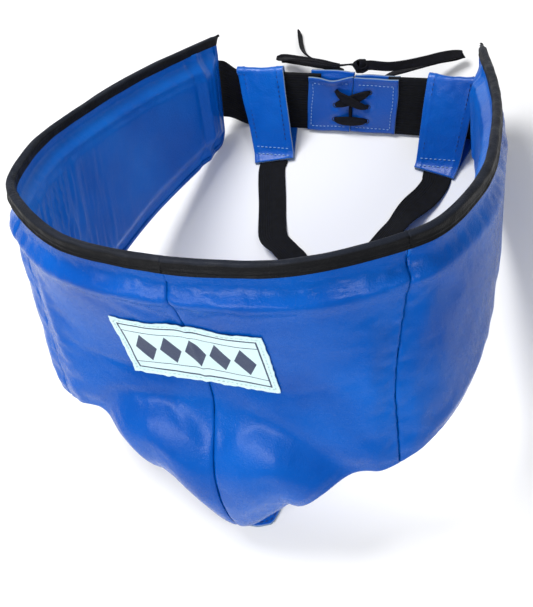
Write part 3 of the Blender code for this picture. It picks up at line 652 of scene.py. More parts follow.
def binding_cloth():
    """The rim's black tape, greyer along the top roll and the cord ridges: a painted highlight, with random
    tone on top.
    """
    material, tree, shader = new_material("binding_cloth", 0.55)
    roll_highlight_and_tone = attribute_value(tree, "roll_highlight_and_tone")
    # Painted highlight: the tape runs from black to grey where the highlight attribute is high.
    base = mix_colours(tree, roll_highlight_and_tone, (0.0010, 0.0013, 0.0026), (0.008, 0.011, 0.020), (0.40, 1.1))
    tree.links.new(base, shader.inputs["Base Color"])
    tree.links.new(map_value(tree, noise_texture(tree, 130.0, 4.0), 0.42, 0.68, 0.3, 0.7),
                   shader.inputs["Roughness"])
    shader.inputs["Specular IOR Level"].default_value = 0.16
    weave = node(tree, "ShaderNodeTexVoronoi", Scale=1300.0)
    tree.links.new(object_place(tree), weave.inputs["Vector"])
    threads = add_bump(tree, shader, weave.outputs["Distance"], 0.5, 0.0004)
    add_bump(tree, shader, noise_texture(tree, 210.0, 4.0), 0.4, 0.0008, threads)
    return material


def patch_cloth():
    """A woven label: pale ground, a navy frame and a row of navy diamonds between two rules."""
    material, tree, shader = new_material("patch_cloth", 0.62)
    u, v = attribute_value(tree, "patch_u"), attribute_value(tree, "patch_v")

    def math_node(operation, first, second=0.0):
        made = node(tree, "ShaderNodeMath", operation=operation)
        for socket, value in zip(made.inputs, (first, second)):
            if isinstance(value, float):
                socket.default_value = value
            else:
                tree.links.new(value, socket)
        return made.outputs[0]

    def within(value, centre, half):
        away = math_node("ABSOLUTE", math_node("SUBTRACT", value, centre))
        return math_node("LESS_THAN", away, half)

    from_side = math_node("SUBTRACT", 0.5, math_node("ABSOLUTE", math_node("SUBTRACT", u, 0.5)))
    from_top = math_node("SUBTRACT", 0.5, math_node("ABSOLUTE", math_node("SUBTRACT", v, 0.5)))
    side_mm = math_node("MULTIPLY", from_side, PATCH_SIZE[0] / MM)
    top_mm = math_node("MULTIPLY", from_top, PATCH_SIZE[1] / MM)
    edge_mm = math_node("MINIMUM", side_mm, top_mm)
    frame_line = within(edge_mm, 4.6, 0.55)
    inner_rule = within(top_mm, 10.5, 0.35)
    inside = math_node("GREATER_THAN", side_mm, 4.6)
    inner_rule = math_node("MULTIPLY", inner_rule, inside)
    cell = math_node("PINGPONG", math_node("SUBTRACT", side_mm, 8.0), 8.0)
    across = math_node("DIVIDE", math_node("SUBTRACT", 8.0, cell), 7.0)
    updown = math_node("DIVIDE", math_node("SUBTRACT", 0.5 * PATCH_SIZE[1] / MM, top_mm), 13.0)
    diamond = math_node("LESS_THAN", math_node("ADD", across, updown), 1.0)
    diamond = math_node("MULTIPLY", diamond, math_node("GREATER_THAN", side_mm, 8.0))
    navy = math_node("MAXIMUM", math_node("MAXIMUM", frame_line, inner_rule), diamond)
    colour = mix_colours(tree, navy, (0.60, 0.80, 0.82), (0.012, 0.026, 0.075), (0.4, 0.6))
    tree.links.new(colour, shader.inputs["Base Color"])
    threads = node(tree, "ShaderNodeMath", operation="SINE")
    tree.links.new(map_value(tree, v, 0.0, 2.0 * math.pi * 85.0), threads.inputs[0])
    lines = add_bump(tree, shader, threads.outputs[0], 0.25, 0.0002)
    add_bump(tree, shader, noise_texture(tree, 500.0, 4.0), 0.3, 0.0003, lines)
    shader.inputs["Sheen Weight"].default_value = 0.15
    return material


def thread(name, colour):
    material, tree, shader = new_material(name, 0.6)
    tint = noise_texture(tree, 300.0, 2.0)
    darker = tuple(0.72 * c for c in colour)
    tree.links.new(mix_colours(tree, tint, darker, colour), shader.inputs["Base Color"])
    add_bump(tree, shader, noise_texture(tree, 1500.0, 2.0), 0.4, 0.0002)
    return material


def brushed_steel():
    material, tree, shader = new_material("cup_brushed_steel", 0.34, 1.0)
    shader.inputs["Base Color"].default_value = (0.62, 0.63, 0.65, 1.0)
    streaks = noise_texture(tree, 180.0, 6.0)
    tree.links.new(map_value(tree, streaks, 0.26, 0.44, 0.3, 0.7), shader.inputs["Roughness"])
    return material


BLUE = leather("blue_leather", (0.000, 0.058, 0.320), (0.000, 0.094, 0.445), 0.25, 0.08, 0.4, 0.09)
BLUE_LINING = leather("blue_lining", (0.000, 0.088, 0.44), (0.001, 0.140, 0.58), 0.36, 0.10)
BLUE_STRIP = leather("blue_strip_leather", (0.000, 0.072, 0.40), (0.001, 0.125, 0.55), 0.33, 0.16, 0.5, 0.32)
RAW_EDGE = leather("raw_leather_edge", (0.16, 0.24, 0.36), (0.26, 0.34, 0.44), 0.75, 0.0, 0.6)
BINDING = binding_cloth()
ELASTIC = webbing("waist_elastic_weave", 2.2 * MM)
STRAP_WEB = webbing("leg_strap_weave", 1.8 * MM)
LACE = webbing("lace_weave", 0.9 * MM, (0.0028, 0.0028, 0.0048))
PATCH = patch_cloth()
PALE_THREAD = thread("pale_thread", (0.30, 0.52, 0.80))
DARK_THREAD = thread("dark_thread", (0.004, 0.025, 0.16))
WHITE_THREAD = thread("white_thread", (0.68, 0.84, 0.82))
EYELET_DARK = thread("eyelet_dark", (0.01, 0.03, 0.10))


# ---------------------------------------------------------------- lace ends (the cords)
def flat_lace(name, points_mm, twists):
    """A flat lace along its route, turning about its own line by the given quarter turns."""
    route = smooth_route(points_mm, 2.0 * MM)
    tangent = unit(np.gradient(route, axis=0))
    flat = unit(np.cross(np.array((0.0, 0.0, 1.0)), tangent))
    upright = unit(np.cross(tangent, flat))
    share = along_route(route) / along_route(route)[-1]
    angle = np.interp(share, *zip(*twists)) * 0.5 * math.pi
    across = flat * np.cos(angle)[:, None] + upright * np.sin(angle)[:, None]
    width = LACE_WIDTH * (1.0 - 0.45 * ramp((share - 0.985) / 0.015))
    piece = strip(name, route, across, width, LACE_THICKNESS, [LACE], columns=6, rounding=0.8)
    return piece, route


def lift_over_table(piece, least=0.1 * MM):
    """Raises the few points that would reach under the table."""
    for vertex in piece.data.vertices:
        vertex.co.z = max(vertex.co.z, least)


def build_lace_ends():
    turns = {
        "left": ((0.0, 0.5), (0.15, 0.75), (0.25, 0.6), (0.36, 0.2), (0.5, 0.55), (0.7, 0.2), (1.0, 0.0)),
        "right": ((0.0, 0.5), (0.15, 0.8), (0.25, 0.6), (0.34, 0.2), (0.5, 0.5), (0.7, 0.6), (1.0, 0.85)),
    }
    for side, points in (("left", LACE_END_LEFT_MM), ("right", LACE_END_RIGHT_MM)):
        start = KNOT_CENTRE_MM[0] + (KNOT_EXIT_MM if side == "left" else -KNOT_EXIT_MM)
        from_knot = ((start, KNOT_CENTRE_MM[1], KNOT_CENTRE_MM[2]),) + points
        piece, route = flat_lace("lace_tail_" + side, from_knot, turns[side])
        lift_over_table(piece)
        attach(piece, "root")
        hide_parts("lace_end_" + side)


def build_knot():
    """The bow's knot: a tight wrap over crossing turns of the flat lace."""
    centre = np.array(KNOT_CENTRE_MM) * MM
    size = np.array(KNOT_SIZE_MM) * 0.5 * MM
    turns = np.linspace(0.0, 2.0 * math.pi, 65)
    rings = (((1.0, 0.86, 0.28), 0.0, 0.2), ((0.42, 0.92, 1.0), 0.5, 0.0), ((0.75, 0.9, 0.8), -0.7, 0.35))
    pieces = []
    for number, (share, lean, phase) in enumerate(rings):
        x = np.cos(turns + phase) * size[0] * share[0]
        y = np.sin(turns + phase) * size[1] * share[1]
        z = np.sin(turns + phase + lean * 1.8) * size[2] * share[2] * (1.0 if number else 0.6)
        route = centre + np.stack((x, y, z), -1)
        outward = unit(route - centre)
        tangent = unit(np.gradient(route, axis=0))
        pieces.append(strip(f"lace_knot_turn_{number}", route, np.cross(tangent, outward),
                            0.8 * LACE_WIDTH, LACE_THICKNESS, [LACE], columns=6, rounding=0.8))
    for piece in pieces:
        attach(piece, "root")
    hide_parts("lace_knot")


# ---------------------------------------------------------------- shell pieces
EDGE_INSET = 3.4 * MM            # the rolled lower edge is this deep
LEATHER_TOP = 4.0 * MM           # the leather starts this far down, inside the binding
FINE_ROWS_END = 45.0 * MM        # the grid's rows are close down to here
CORNER_COLUMNS = 12              # columns round a wing's rear lower corner
ROLL_STEPS = 8
CLOTH_PRESSURE = 2.5
CLOTH_SPARE = 0.010              # the leather is cut this share larger than its place
CLOTH_CAP = 1.8 * MM             # no point swells further than this
CLOTH_FRAMES = 20
CLOTH_STRIDE = 3                 # every third line of a panel's grid is simulated
FRONT_SWELLING = {}              # filled by build_cover, read by the patch


def lower_edge(t_start, t_end, columns):
    """Stations and drops just inside a panel's lower edge, and its outward direction there."""
    if t_end == WING_END:
        turn = np.linspace(0.0, 0.5 * math.pi, CORNER_COLUMNS + 1)
        straight_end = WING_END - CORNER_ROUND / END_STATION_LENGTH
        straight = np.linspace(t_start, straight_end, columns + 1 - CORNER_COLUMNS)
        corner = WING_END - CORNER_ROUND * (1.0 - np.sin(turn[1:])) / END_STATION_LENGTH
        t = np.concatenate((straight, corner))
    else:
        t = np.linspace(t_start, t_end, columns + 1)
    drop = shell_height(t)
    s = arc(t)
    ds, dd = np.gradient(s), np.gradient(drop)
    if t_end == WING_END:
        ds[-1] = 0.0
    length = np.hypot(ds, dd)
    outward = np.stack((-dd / length, ds / length), -1)
    return station(s - EDGE_INSET * outward[:, 0]), drop - EDGE_INSET * outward[:, 1], outward


def panel_lattice(t_start, t_end, columns, rows):
    """Stations and drops of a panel's grid: close rows at the top, even rows below."""
    t_edge, edge_drop, outward = lower_edge(t_start, t_end, columns)
    fine_rows = rows // 3
    r = np.arange(rows + 1)
    top = LEATHER_TOP + (FINE_ROWS_END - LEATHER_TOP) * r / fine_rows
    share = (r - fine_rows) / (rows - fine_rows)
    low = FINE_ROWS_END + (edge_drop[:, None] - FINE_ROWS_END) * share[None, :]
    drops = np.where(r[None, :] <= fine_rows, top[None, :], low)
    return np.repeat(t_edge[:, None], rows + 1, 1), drops, outward


def pressed_cloth(points, outward, pinned):
    """Cloth simulation of a padded sheet: how far each point of the grid swells outward.

    The sheet is cut a little larger than its place, held along its seams and pushed out."""
    columns, rows = points.shape[0] - 1, points.shape[1] - 1
    sheet = make_mesh("cloth_work", points, grid_faces(columns, rows), [])
    held = sheet.vertex_groups.new(name="held")
    held.add([int(i) for i in np.flatnonzero(pinned.ravel())], 1.0, "REPLACE")
    facing = sum(p.normal.dot(Vector(outward.reshape(-1, 3)[p.vertices[0]])) for p in sheet.data.polygons)
    if facing < 0.0:
        sheet.data.flip_normals()
    cloth = sheet.modifiers.new("cloth", "CLOTH")
    cloth.settings.quality = 5
    cloth.settings.mass = 0.3
    cloth.settings.tension_stiffness = 18.0
    cloth.settings.compression_stiffness = 18.0
    cloth.settings.bending_stiffness = 0.6
    cloth.settings.shrink_min = -CLOTH_SPARE
    cloth.settings.use_pressure = True
    cloth.settings.uniform_pressure_force = CLOTH_PRESSURE
    cloth.settings.vertex_group_mass = "held"
    cloth.settings.effector_weights.gravity = 0.0
    cloth.point_cache.frame_start = 1
    cloth.point_cache.frame_end = CLOTH_FRAMES
    scene = bpy.context.scene
    for step in range(1, CLOTH_FRAMES + 1):
        scene.frame_set(step)
    settled = sheet.evaluated_get(bpy.context.evaluated_depsgraph_get()).to_mesh()
    places = np.zeros(len(settled.vertices) * 3)
    settled.vertices.foreach_get("co", places)
    moved = ((places.reshape(points.shape) - points) * outward).sum(-1)
    bpy.data.objects.remove(sheet)
    scene.frame_set(1)
    return np.clip(moved, -0.6 * CLOTH_CAP, CLOTH_CAP)


def spread_over(values, shape):
    """The grid of values again at a finer shape, smoothed."""
    rows_from, rows_to = np.linspace(0, 1, values.shape[1]), np.linspace(0, 1, shape[1])
    columns_from, columns_to = np.linspace(0, 1, values.shape[0]), np.linspace(0, 1, shape[0])
    wide = np.array([np.interp(rows_to, rows_from, line) for line in values])
    wide = np.array([np.interp(columns_to, columns_from, line) for line in wide.T]).T
    for _ in range(4):
        padded = np.pad(wide, 1, mode="edge")
        wide = 0.5 * wide + 0.125 * (padded[2:, 1:-1] + padded[:-2, 1:-1] + padded[1:-1, 2:]
                                     + padded[1:-1, :-2])
    return wide


def swell(t, drops, depth_at):
    """Outward swelling of a panel, simulated on a coarser grid."""
    keep_columns = np.unique(np.append(np.arange(0, t.shape[0], CLOTH_STRIDE), t.shape[0] - 1))
    keep_rows = np.unique(np.append(np.arange(0, t.shape[1], CLOTH_STRIDE), t.shape[1] - 1))
    t_few, drop_few = t[np.ix_(keep_columns, keep_rows)], drops[np.ix_(keep_columns, keep_rows)]
    place, _, _, outward = shell_frame(t_few, drop_few)
    points = place - outward * depth_at(t_few, drop_few)[..., None]
    pinned = np.zeros(t_few.shape, bool)
    pinned[[0, -1], :] = True
    pinned[:, -1] = True
    pinned |= drop_few < PAD_START
    return spread_over(pressed_cloth(points, outward, pinned), t.shape)


def cover_swelling(t, drops):
    """The front leather's simulated swelling at any place on the front."""
    lattice_t, lattice_drops, lift = FRONT_SWELLING["front"]
    column = np.interp(np.abs(t), lattice_t[:, 0], np.arange(len(lattice_t)))
    low = np.clip(column.astype(int), 0, len(lattice_t) - 2)
    part = column - low
    result = np.zeros(np.shape(t))
    for place in np.ndindex(np.shape(t)):
        i, b = low[place], part[place]
        near = np.interp(drops[place], lattice_drops[i], lift[i])
        far = np.interp(drops[place], lattice_drops[i + 1], lift[i + 1])
        result[place] = near * (1.0 - b) + far * b
    return result


def hang_unevenly(points):
    """The soft lower front hangs lower towards the wearer's left."""
    c, s = math.cos(REST_TILT), math.sin(REST_TILT)
    local = points - RIM_FRONT
    depth = c * local[..., 1] - s * local[..., 2]
    drop = -s * local[..., 1] - c * local[..., 2]
    across = points[..., 0]
    sag = sum(height * MM * bell(across - place * MM, reach * MM) for place, reach, height in SAGS_MM)
    sag = sag * ramp((drop - 85.0 * MM) / (60.0 * MM)) * (1.0 - ramp((depth - 45.0 * MM) / (45.0 * MM)))
    return points + sag[..., None] * np.array((0.0, -s, -c))


def mirrored(points, side):
    """Points laid out for the wearer's left, taken to their side and left to hang."""
    return hang_unevenly(points * np.array((1.0 if side == "left" else -1.0, 1.0, 1.0)))


def facing_out(faces, side):
    return faces if side == "left" else faces[:, ::-1]


def build_cover(name, span, columns, rows, side, seed, material):
    """Outer leather of one panel, rolled over its lower edge, and on a wing over its rear end."""
    t, drops, edge_out = panel_lattice(*span, columns, rows)
    place, sideways, downwards, outward = shell_frame(t, drops)
    depth = outer_depth(t, drops)
    fade = ramp((drops - LEATHER_TOP) / (12.0 * MM))
    lift = swell(t, drops, outer_depth)
    skin = depth - lift * fade + outer_wrinkles(t, drops, seed) * fade
    if span[0] == 0.0:
        FRONT_SWELLING["front"] = (t, drops, lift * fade)
    points = place - outward * skin[..., None]
    path = [(i, rows) for i in range(columns + 1)]
    directions = list(edge_out)
    if span[1] == WING_END:
        path += [(columns, j) for j in range(rows - 1, -1, -1)]
        directions += [np.array((1.0, 0.0))] * rows
    index = tuple(np.array(path).T)
    direction = np.array(directions)
    outside, inside = skin[index], inner_depth(t[index], drops[index])
    away = unit(sideways[index] * direction[:, :1] + downwards[index] * direction[:, 1:])
    middle, radius = 0.5 * (outside + inside), 0.5 * (inside - outside)
    rings = []
    for k in range(1, ROLL_STEPS + 1):
        angle = math.pi * k / ROLL_STEPS
        under = middle - radius * math.cos(angle)
        rings.append(place[index] - outward[index] * under[:, None]
                     + away * (EDGE_INSET * math.sin(angle)))
    rings.append(place[index] - outward[index] * (inside + 0.7 * MM)[:, None] - away * 2.5 * MM)
    grid_count = t.size
    path_ids = [i * (rows + 1) + j for i, j in path]
    lines = [np.array(path_ids)]
    lines += [grid_count + k * len(path) + np.arange(len(path)) for k in range(len(rings))]
    roll = [np.stack((a[:-1], b[:-1], b[1:], a[1:]), -1) for a, b in zip(lines, lines[1:])]
    faces = np.vstack([grid_faces(columns, rows)] + roll)
    everything = np.vstack([points.reshape(-1, 3)] + rings)
    piece = make_mesh(name, mirrored(everything, side), facing_out(faces, side), [material])
    thicken(piece, 1.1 * MM)
    return piece


def build_lining(name, span, columns, rows, side, seed):
    t, drops, _ = panel_lattice(*span, columns, rows)
    depth = inner_depth(t, drops) + inner_wrinkles(t, drops, seed) * ramp((drops - LEATHER_TOP) / (14.0 * MM))
    points = shell_point(t, drops, depth)
    piece = make_mesh(name, mirrored(points, side), facing_out(grid_faces(columns, rows)[:, ::-1], side),
                      [BLUE_LINING])
    thicken(piece, 0.9 * MM)
    return piece


def blend_at_seam(piece):
    """Bakes a wing piece's placement into its mesh; the seam's ends and direction behind the side seam are
    worked out but not used to bend it.
    """
    ends = shell_point(np.array((SIDE_SEAM, SIDE_SEAM)), np.array((5.0 * MM, 140.0 * MM)), np.zeros(2))
    _, sideways, _, _ = shell_frame(SIDE_SEAM, 75.0 * MM)
    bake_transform(piece)


def build_shell():
    for side, seed in (("left", 0.0), ("right", 20.0)):
        cover = build_cover("front_leather_" + side, (0.0, SIDE_SEAM), 78, 120, side, seed, BLUE)
        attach(cover, "root")
        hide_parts("cover_front_" + side, "foam_front_outer")
        wing = build_cover("wing_leather_" + side, (SIDE_SEAM, WING_END), 130, 84, side, seed + 9, BLUE)
        lift_over_table(wing, 0.0)
        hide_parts("cover_wing_" + side, "foam_wing_" + side)
        blend_at_seam(wing)
        lining = build_lining("front_lining_" + side, (0.0, SIDE_SEAM), 60, 90, side, seed + 4)
        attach(lining, "root")
        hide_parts("lining_front", "foam_front_inner")
        wing_lining = build_lining("wing_lining_" + side, (SIDE_SEAM, WING_END), 260, 90, side, seed + 6)
        lift_over_table(wing_lining, 0.0)
        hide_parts("lining_wing_" + side)
        blend_at_seam(wing_lining)
        build_binding(side, seed)


# ---------------------------------------------------------------- binding
BINDING_OUTER_LEG = 6.8 * MM
BINDING_INNER_LEG = 4.5 * MM
BINDING_TAPE = 1.1 * MM
STRIP_OVERLAP = 0.004            # in stations, where two strips meet
BINDING_TIP = 0.14               # in stations, past the wing's end


def rim_frame(t):
    """The rim's frame at a station; past the wing's end the rim runs straight on."""
    inside = np.minimum(t, WING_END)
    place, sideways, downwards, outward = shell_frame(inside, np.zeros_like(inside))
    beyond = (t - inside) * END_STATION_LENGTH
    return place + sideways * beyond[:, None], sideways, downwards, outward


def binding_strip(name, t, side, seed, tip):
    """Tape folded over the rim, with a corded lower edge outside."""
    place, _, downwards, outward = rim_frame(t)
    inside_t = np.minimum(t, WING_END)
    s = arc(inside_t) + np.maximum(t - WING_END, 0.0) * END_STATION_LENGTH
    pinch = 1.0 - 0.8 * ramp((t - WING_END + 0.12) / 0.26) if tip else np.ones_like(t)
    rise = 1.5 * MM * ramp((t - WING_END + 0.05) / 0.2) if tip else np.zeros_like(t)
    leg, roll = 11, 12
    profile = []
    for k in range(leg + roll + leg + 1):
        if k <= leg:
            share = k / leg
            drop = BINDING_OUTER_LEG * (1.0 - share) * pinch
            depth = np.full_like(t, BORDER_RECESS - 0.6 * MM)
            cord = bell((share - 0.10) / 0.10, 1.0) + 0.55 * bell((share - 0.42) / 0.10, 1.0)
            depth -= (1.1 * cord + 0.25 * share) * MM * pinch
            # Painted highlight: the outer leg lightens towards the top and along its cord ridges.
            roll_highlight_and_tone = 0.15 * share + 0.25 * cord * np.ones_like(t)
        elif k < leg + roll:
            angle = math.pi * (k - leg) / roll
            out = BORDER_RECESS - 0.85 * MM
            back = RIM_THICKNESS + 0.6 * MM
            depth = np.full_like(t, 0.5 * (out + back) - 0.5 * (back - out) * math.cos(angle))
            drop = -0.62 * 0.5 * (back - out) * math.sin(angle) * pinch
            # Painted highlight: the top of the roll is lightest, where it faces up into the light.
            roll_highlight_and_tone = np.full_like(t, 0.25 + 0.75 * math.sin(angle) ** 0.7)
        else:
            share = (k - leg - roll) / leg
            drop = BINDING_INNER_LEG * share * pinch
            depth = np.full_like(t, RIM_THICKNESS + 0.6 * MM)
            # Painted highlight: the inner leg lightens towards the roll.
            roll_highlight_and_tone = np.full_like(t, 0.2 * (1.0 - share))
        middle = 0.5 * (BORDER_RECESS + RIM_THICKNESS)
        depth = middle + (depth - middle) * pinch
        depth = depth + 0.22 * MM * noise(s / (11.0 * MM), k / 4.0, seed)
        # Random tone added to the painted highlight.
        roll_highlight_and_tone = roll_highlight_and_tone + 0.2 * noise(s / (9.0 * MM), k / 5.0, seed + 2)
        lift = drop - rise + 0.3 * MM * noise(s / (21.0 * MM), 0.3 * k, seed + 5)
        profile.append((place + downwards * lift[:, None] - outward * depth[:, None], roll_highlight_and_tone))
    points = np.stack([p for p, _ in profile], 1)
    roll_highlight_and_tone = np.stack([w for _, w in profile], 1)
    faces = grid_faces(len(t) - 1, len(profile) - 1)[:, ::-1]
    # The painted highlight goes to the binding's material as a point attribute.
    piece = make_mesh(name, mirrored(points, side), facing_out(faces, side), [BINDING],
                      attributes={"roll_highlight_and_tone": roll_highlight_and_tone})
    thicken(piece, BINDING_TAPE)
    return piece


def build_binding(side, seed):
    t = np.linspace(-STRIP_OVERLAP, SIDE_SEAM + STRIP_OVERLAP, 121)
    front = binding_strip("front_binding_" + side, t, side, seed, False)
    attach(front, "root")
    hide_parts("binding_front")
    t = np.linspace(SIDE_SEAM - STRIP_OVERLAP, WING_END + BINDING_TIP, 221)
    wing = binding_strip("wing_binding_" + side, t, side, seed + 7, True)
    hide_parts("binding_wing_" + side)
    blend_at_seam(wing)


def shell_line(t, drops, depth_at, lift):
    """A line on the shell's leather and the outward direction along it."""
    place, _, _, outward = shell_frame(t, drops)
    return place - outward * (depth_at(t, drops) - lift)[:, None], outward


# ---------------------------------------------------------------- patch
PATCH_LIFT = 0.9 * MM
PATCH_SEWING = 2.3 * MM           # the stitches run this far inside its edge


def patch_depth(t, drops):
    """The patch bridges the centre seam and lies on the leather elsewhere."""
    s = arc(t)
    bridged = outer_depth(t, drops) - (1.1 * MM * bell(s, 1.1 * MM) + 0.4 * MM * bell(s, 12.0 * MM))
    folds = np.where(t >= 0.0, outer_wrinkles(t, drops, 0.0), outer_wrinkles(t, drops, 20.0))
    return bridged + folds * (1.0 - bell(s, 8.0 * MM)) - cover_swelling(t, drops) - PATCH_LIFT


def build_patch():
    columns, rows = 120, 64
    u, v = share_grid(columns, rows)
    t, drops = between(PATCH_STATIONS, u), between(PATCH_DROPS, v)
    edge = np.minimum(np.minimum(u, 1 - u) * PATCH_SIZE[0], np.minimum(v, 1 - v) * PATCH_SIZE[1])
    frayed = bell(edge, 2.2 * MM)
    drops = drops + 0.55 * MM * noise(u * 31.0, v * 3.0, 2.0) * frayed
    t = t + 0.012 * noise(u * 3.0, v * 17.0, 5.0) * frayed
    pucker = 0.55 * MM * (noise(u * 24.0, v * 12.0, 3.0) * 0.5 + 0.5) * bell(edge, 3.0 * MM)
    sewn = 0.35 * MM * bell(edge - PATCH_SEWING, 0.8 * MM)
    depth = patch_depth(t, drops) - pucker + sewn - 0.25 * MM * noise(u * 9.0, v * 5.0, 8.0)
    points = shell_point(t, drops, depth)
    piece = make_mesh("label", points, grid_faces(columns, rows), [PATCH],
                      attributes={"patch_u": u, "patch_v": v})
    thicken(piece, 0.45 * MM, -1.0)
    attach(piece, "root")
    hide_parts("label_patch")
    sew_patch()


def sew_patch():
    """A line of stitches along each edge of the patch."""
    left, top = PATCH_SEWING / PATCH_SIZE[0], PATCH_SEWING / PATCH_SIZE[1]
    corners = ((left, top), (1 - left, top), (1 - left, 1 - top), (left, 1 - top))
    share = np.linspace(0.0, 1.0, 80)
    for number in range(4):
        (u0, v0), (u1, v1) = corners[number], corners[(number + 1) % 4]
        line_t = between(PATCH_STATIONS, between((u0, u1), share))
        line_drop = between(PATCH_DROPS, between((v0, v1), share))
        line, up = shell_line(line_t, line_drop, patch_depth, 0.35 * MM)
        sewing = stitches(f"label_thread_{number}", line, up, WHITE_THREAD, 1.9 * MM, 0.9 * MM, 0.3 * MM)
        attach(sewing, "root")


# ---------------------------------------------------------------- waistband, tabs and lacing
def band_point(x, along, out):
    """A point of the leaning waistband: along its width from the lower edge, and out to the rear."""
    x, along, out = np.broadcast_arrays(np.asarray(x, float), along, out)
    y = BAND_BOTTOM[0] + along * math.sin(BAND_LEAN) + out * math.cos(BAND_LEAN)
    z = BAND_BOTTOM[1] + along * math.cos(BAND_LEAN) - out * math.sin(BAND_LEAN)
    return np.stack((x, y, z), -1)


BAND_OUT = np.array((0.0, math.cos(BAND_LEAN), -math.sin(BAND_LEAN)))
BAND_UP = np.array((0.0, math.sin(BAND_LEAN), math.cos(BAND_LEAN)))


def tab_point(x, along, out):
    return band_point(x + TAB_SKEW * (along / BAND_WIDTH - 0.5), along, out)


def build_elastics():
    for side, sign in (("left", 1.0), ("right", -1.0)):
        inner_end = TAB_CENTRE + sign * (TAB_WIDTH - 9.0 * MM)
        outer_end = sign * (BAND_END_X + 5.0 * MM)
        lower_end, upper_end = BAND_END_SHIFTS[side]
        bend_start, bend_length = BAND_BENDS[side]
        columns, rows = 110, 26
        u, w = share_grid(columns, rows)
        x = between((inner_end, outer_end), u)
        skew = TAB_SKEW * (w - 0.5) * (1.0 - ramp(u * 2.0))
        bend = ramp((np.abs(x) - bend_start) / bend_length)[..., None]
        shift = lower_end * (1.0 - w[..., None]) + upper_end * w[..., None]
        wave = 0.25 * MM * noise(u * 5.0, w * 2.5, 4.0 + sign) * ramp(4 * u) * ramp(4 * (1 - u))
        curl = 0.4 * MM * noise(u * 4.0, w * 0.2, 9.0 + sign) * bell(1.0 - w, 0.25) * ramp(4 * u)
        along = BAND_WIDTH * w + curl
        points = band_point(x + skew, along, wave) + shift * bend
        faces = grid_faces(columns, rows)
        piece = make_mesh("waist_band_" + side, points, faces if sign < 0 else faces[:, ::-1], [ELASTIC],
                          attributes={"along": x, "side": BAND_WIDTH * w})
        thicken(piece, BAND_THICKNESS, 0.0)
        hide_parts("waist_elastic_" + side)
        past_loop = band_point(sign * BAND_STRETCHES[side], 0.5 * BAND_WIDTH, 0.0)
        at_wing = band_point(sign * BAND_END_X, 0.5 * BAND_WIDTH, 0.0)
        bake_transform(piece)


TAB_PLY = 1.5 * MM


def tab_folds(u, w, sign):
    """Creases drawn in by the lacing, and the leather's own waves."""
    folds = 0.5 * MM * noise(u * 3.0, w * 3.0, 11.0 + sign)
    for row in EYELET_ROWS:
        away = np.hypot((u - LACING_REACH / TAB_WIDTH) * TAB_WIDTH, w * BAND_WIDTH - row)
        folds = folds - 0.7 * MM * bell(away, 3.2 * MM) + 0.25 * MM * bell(away - 5.5 * MM, 1.6 * MM)
    return folds + 0.3 * MM * noise(u * 2.0, w * 11.0, 17.0 + sign) * bell(u - 0.15, 0.25)


def tab_opening(u, w, sign):
    """How much further a tab's leather stands off the elastic along its open top."""
    wide = 1.2 * MM if sign > 0 else 1.2 * MM + 1.6 * MM * bell(u - 0.45, 0.32)
    return ramp((w - 0.84) / 0.16) * (wide + 0.6 * MM * noise(u * 2.5, 0.0, 3.0 + sign))


def tab_lift(u, w, sign):
    """How far a tab's leather stands off the elastic: drawn in at the middle, open along its top."""
    meet = 1.2 * MM * bell(u, 0.14)
    return TAB_STANDOFF + tab_opening(u, w, sign) - 0.4 * meet + tab_folds(u, w, sign)


def tab_across(u, sign):
    return TAB_CENTRE + sign * between((TAB_MARGIN, TAB_WIDTH), u)


def build_tabs():
    """Each tab is two plies of leather, before and behind the elastic's end, sewn and laced."""
    for side, sign in (("left", 1.0), ("right", -1.0)):
        for ply, out in (("front", -1.0), ("back", 1.0)):
            columns, rows = 34, 44
            u, w = share_grid(columns, rows)
            top = 2.0 * MM if ply == "back" and side == "right" else 0.0
            along = TAB_INSET + (BAND_WIDTH - 2.0 * TAB_INSET + top) * w
            x = tab_across(u, sign) + 0.9 * MM * noise(w * 3.0, 0.0, 6.0 + sign) * bell(u - 1.0, 0.2)
            along = along + 0.9 * MM * noise(u * 2.3, 0.0, 26.0 + sign) * bell(w - 1.0, 0.2)
            along = along + 0.7 * MM * noise(u * 2.3, 0.0, 29.0 + sign) * bell(w, 0.2)
            if ply == "front" and side == "right":
                along = along - 2.6 * MM * bell(u - 0.45, 0.26) * ramp((w - 0.5) / 0.5)
            dent = 0.35 * MM * (bell(u - 0.1, 0.02) + bell(w - 0.08, 0.02) + bell(w - 0.9, 0.02)
                                + bell(u - 0.9, 0.02))
            points = tab_point(x, along, out * (0.5 * TAB_PLY + tab_lift(u, w, sign) - 0.6 * dent))
            faces = grid_faces(columns, rows)
            if (sign > 0) == (out < 0):
                faces = faces[:, ::-1]
            piece = make_mesh(f"lace_tab_{ply}_{side}", points, faces[:, ::-1], [BLUE_STRIP, RAW_EDGE])
            thicken(piece, TAB_PLY, 0.0, rim_slot=1)
            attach(piece, "root")
            if ply == "front":
                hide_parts("lace_tab_" + side)
        build_tab_stitches(side, sign)


def tab_face(u, w, sign, lift):
    """A point on a tab's front ply, as far over it as lift says."""
    along = TAB_INSET + (BAND_WIDTH - 2.0 * TAB_INSET) * w
    return tab_point(tab_across(u, sign), along, -(TAB_PLY + tab_lift(u, w, sign) + lift))


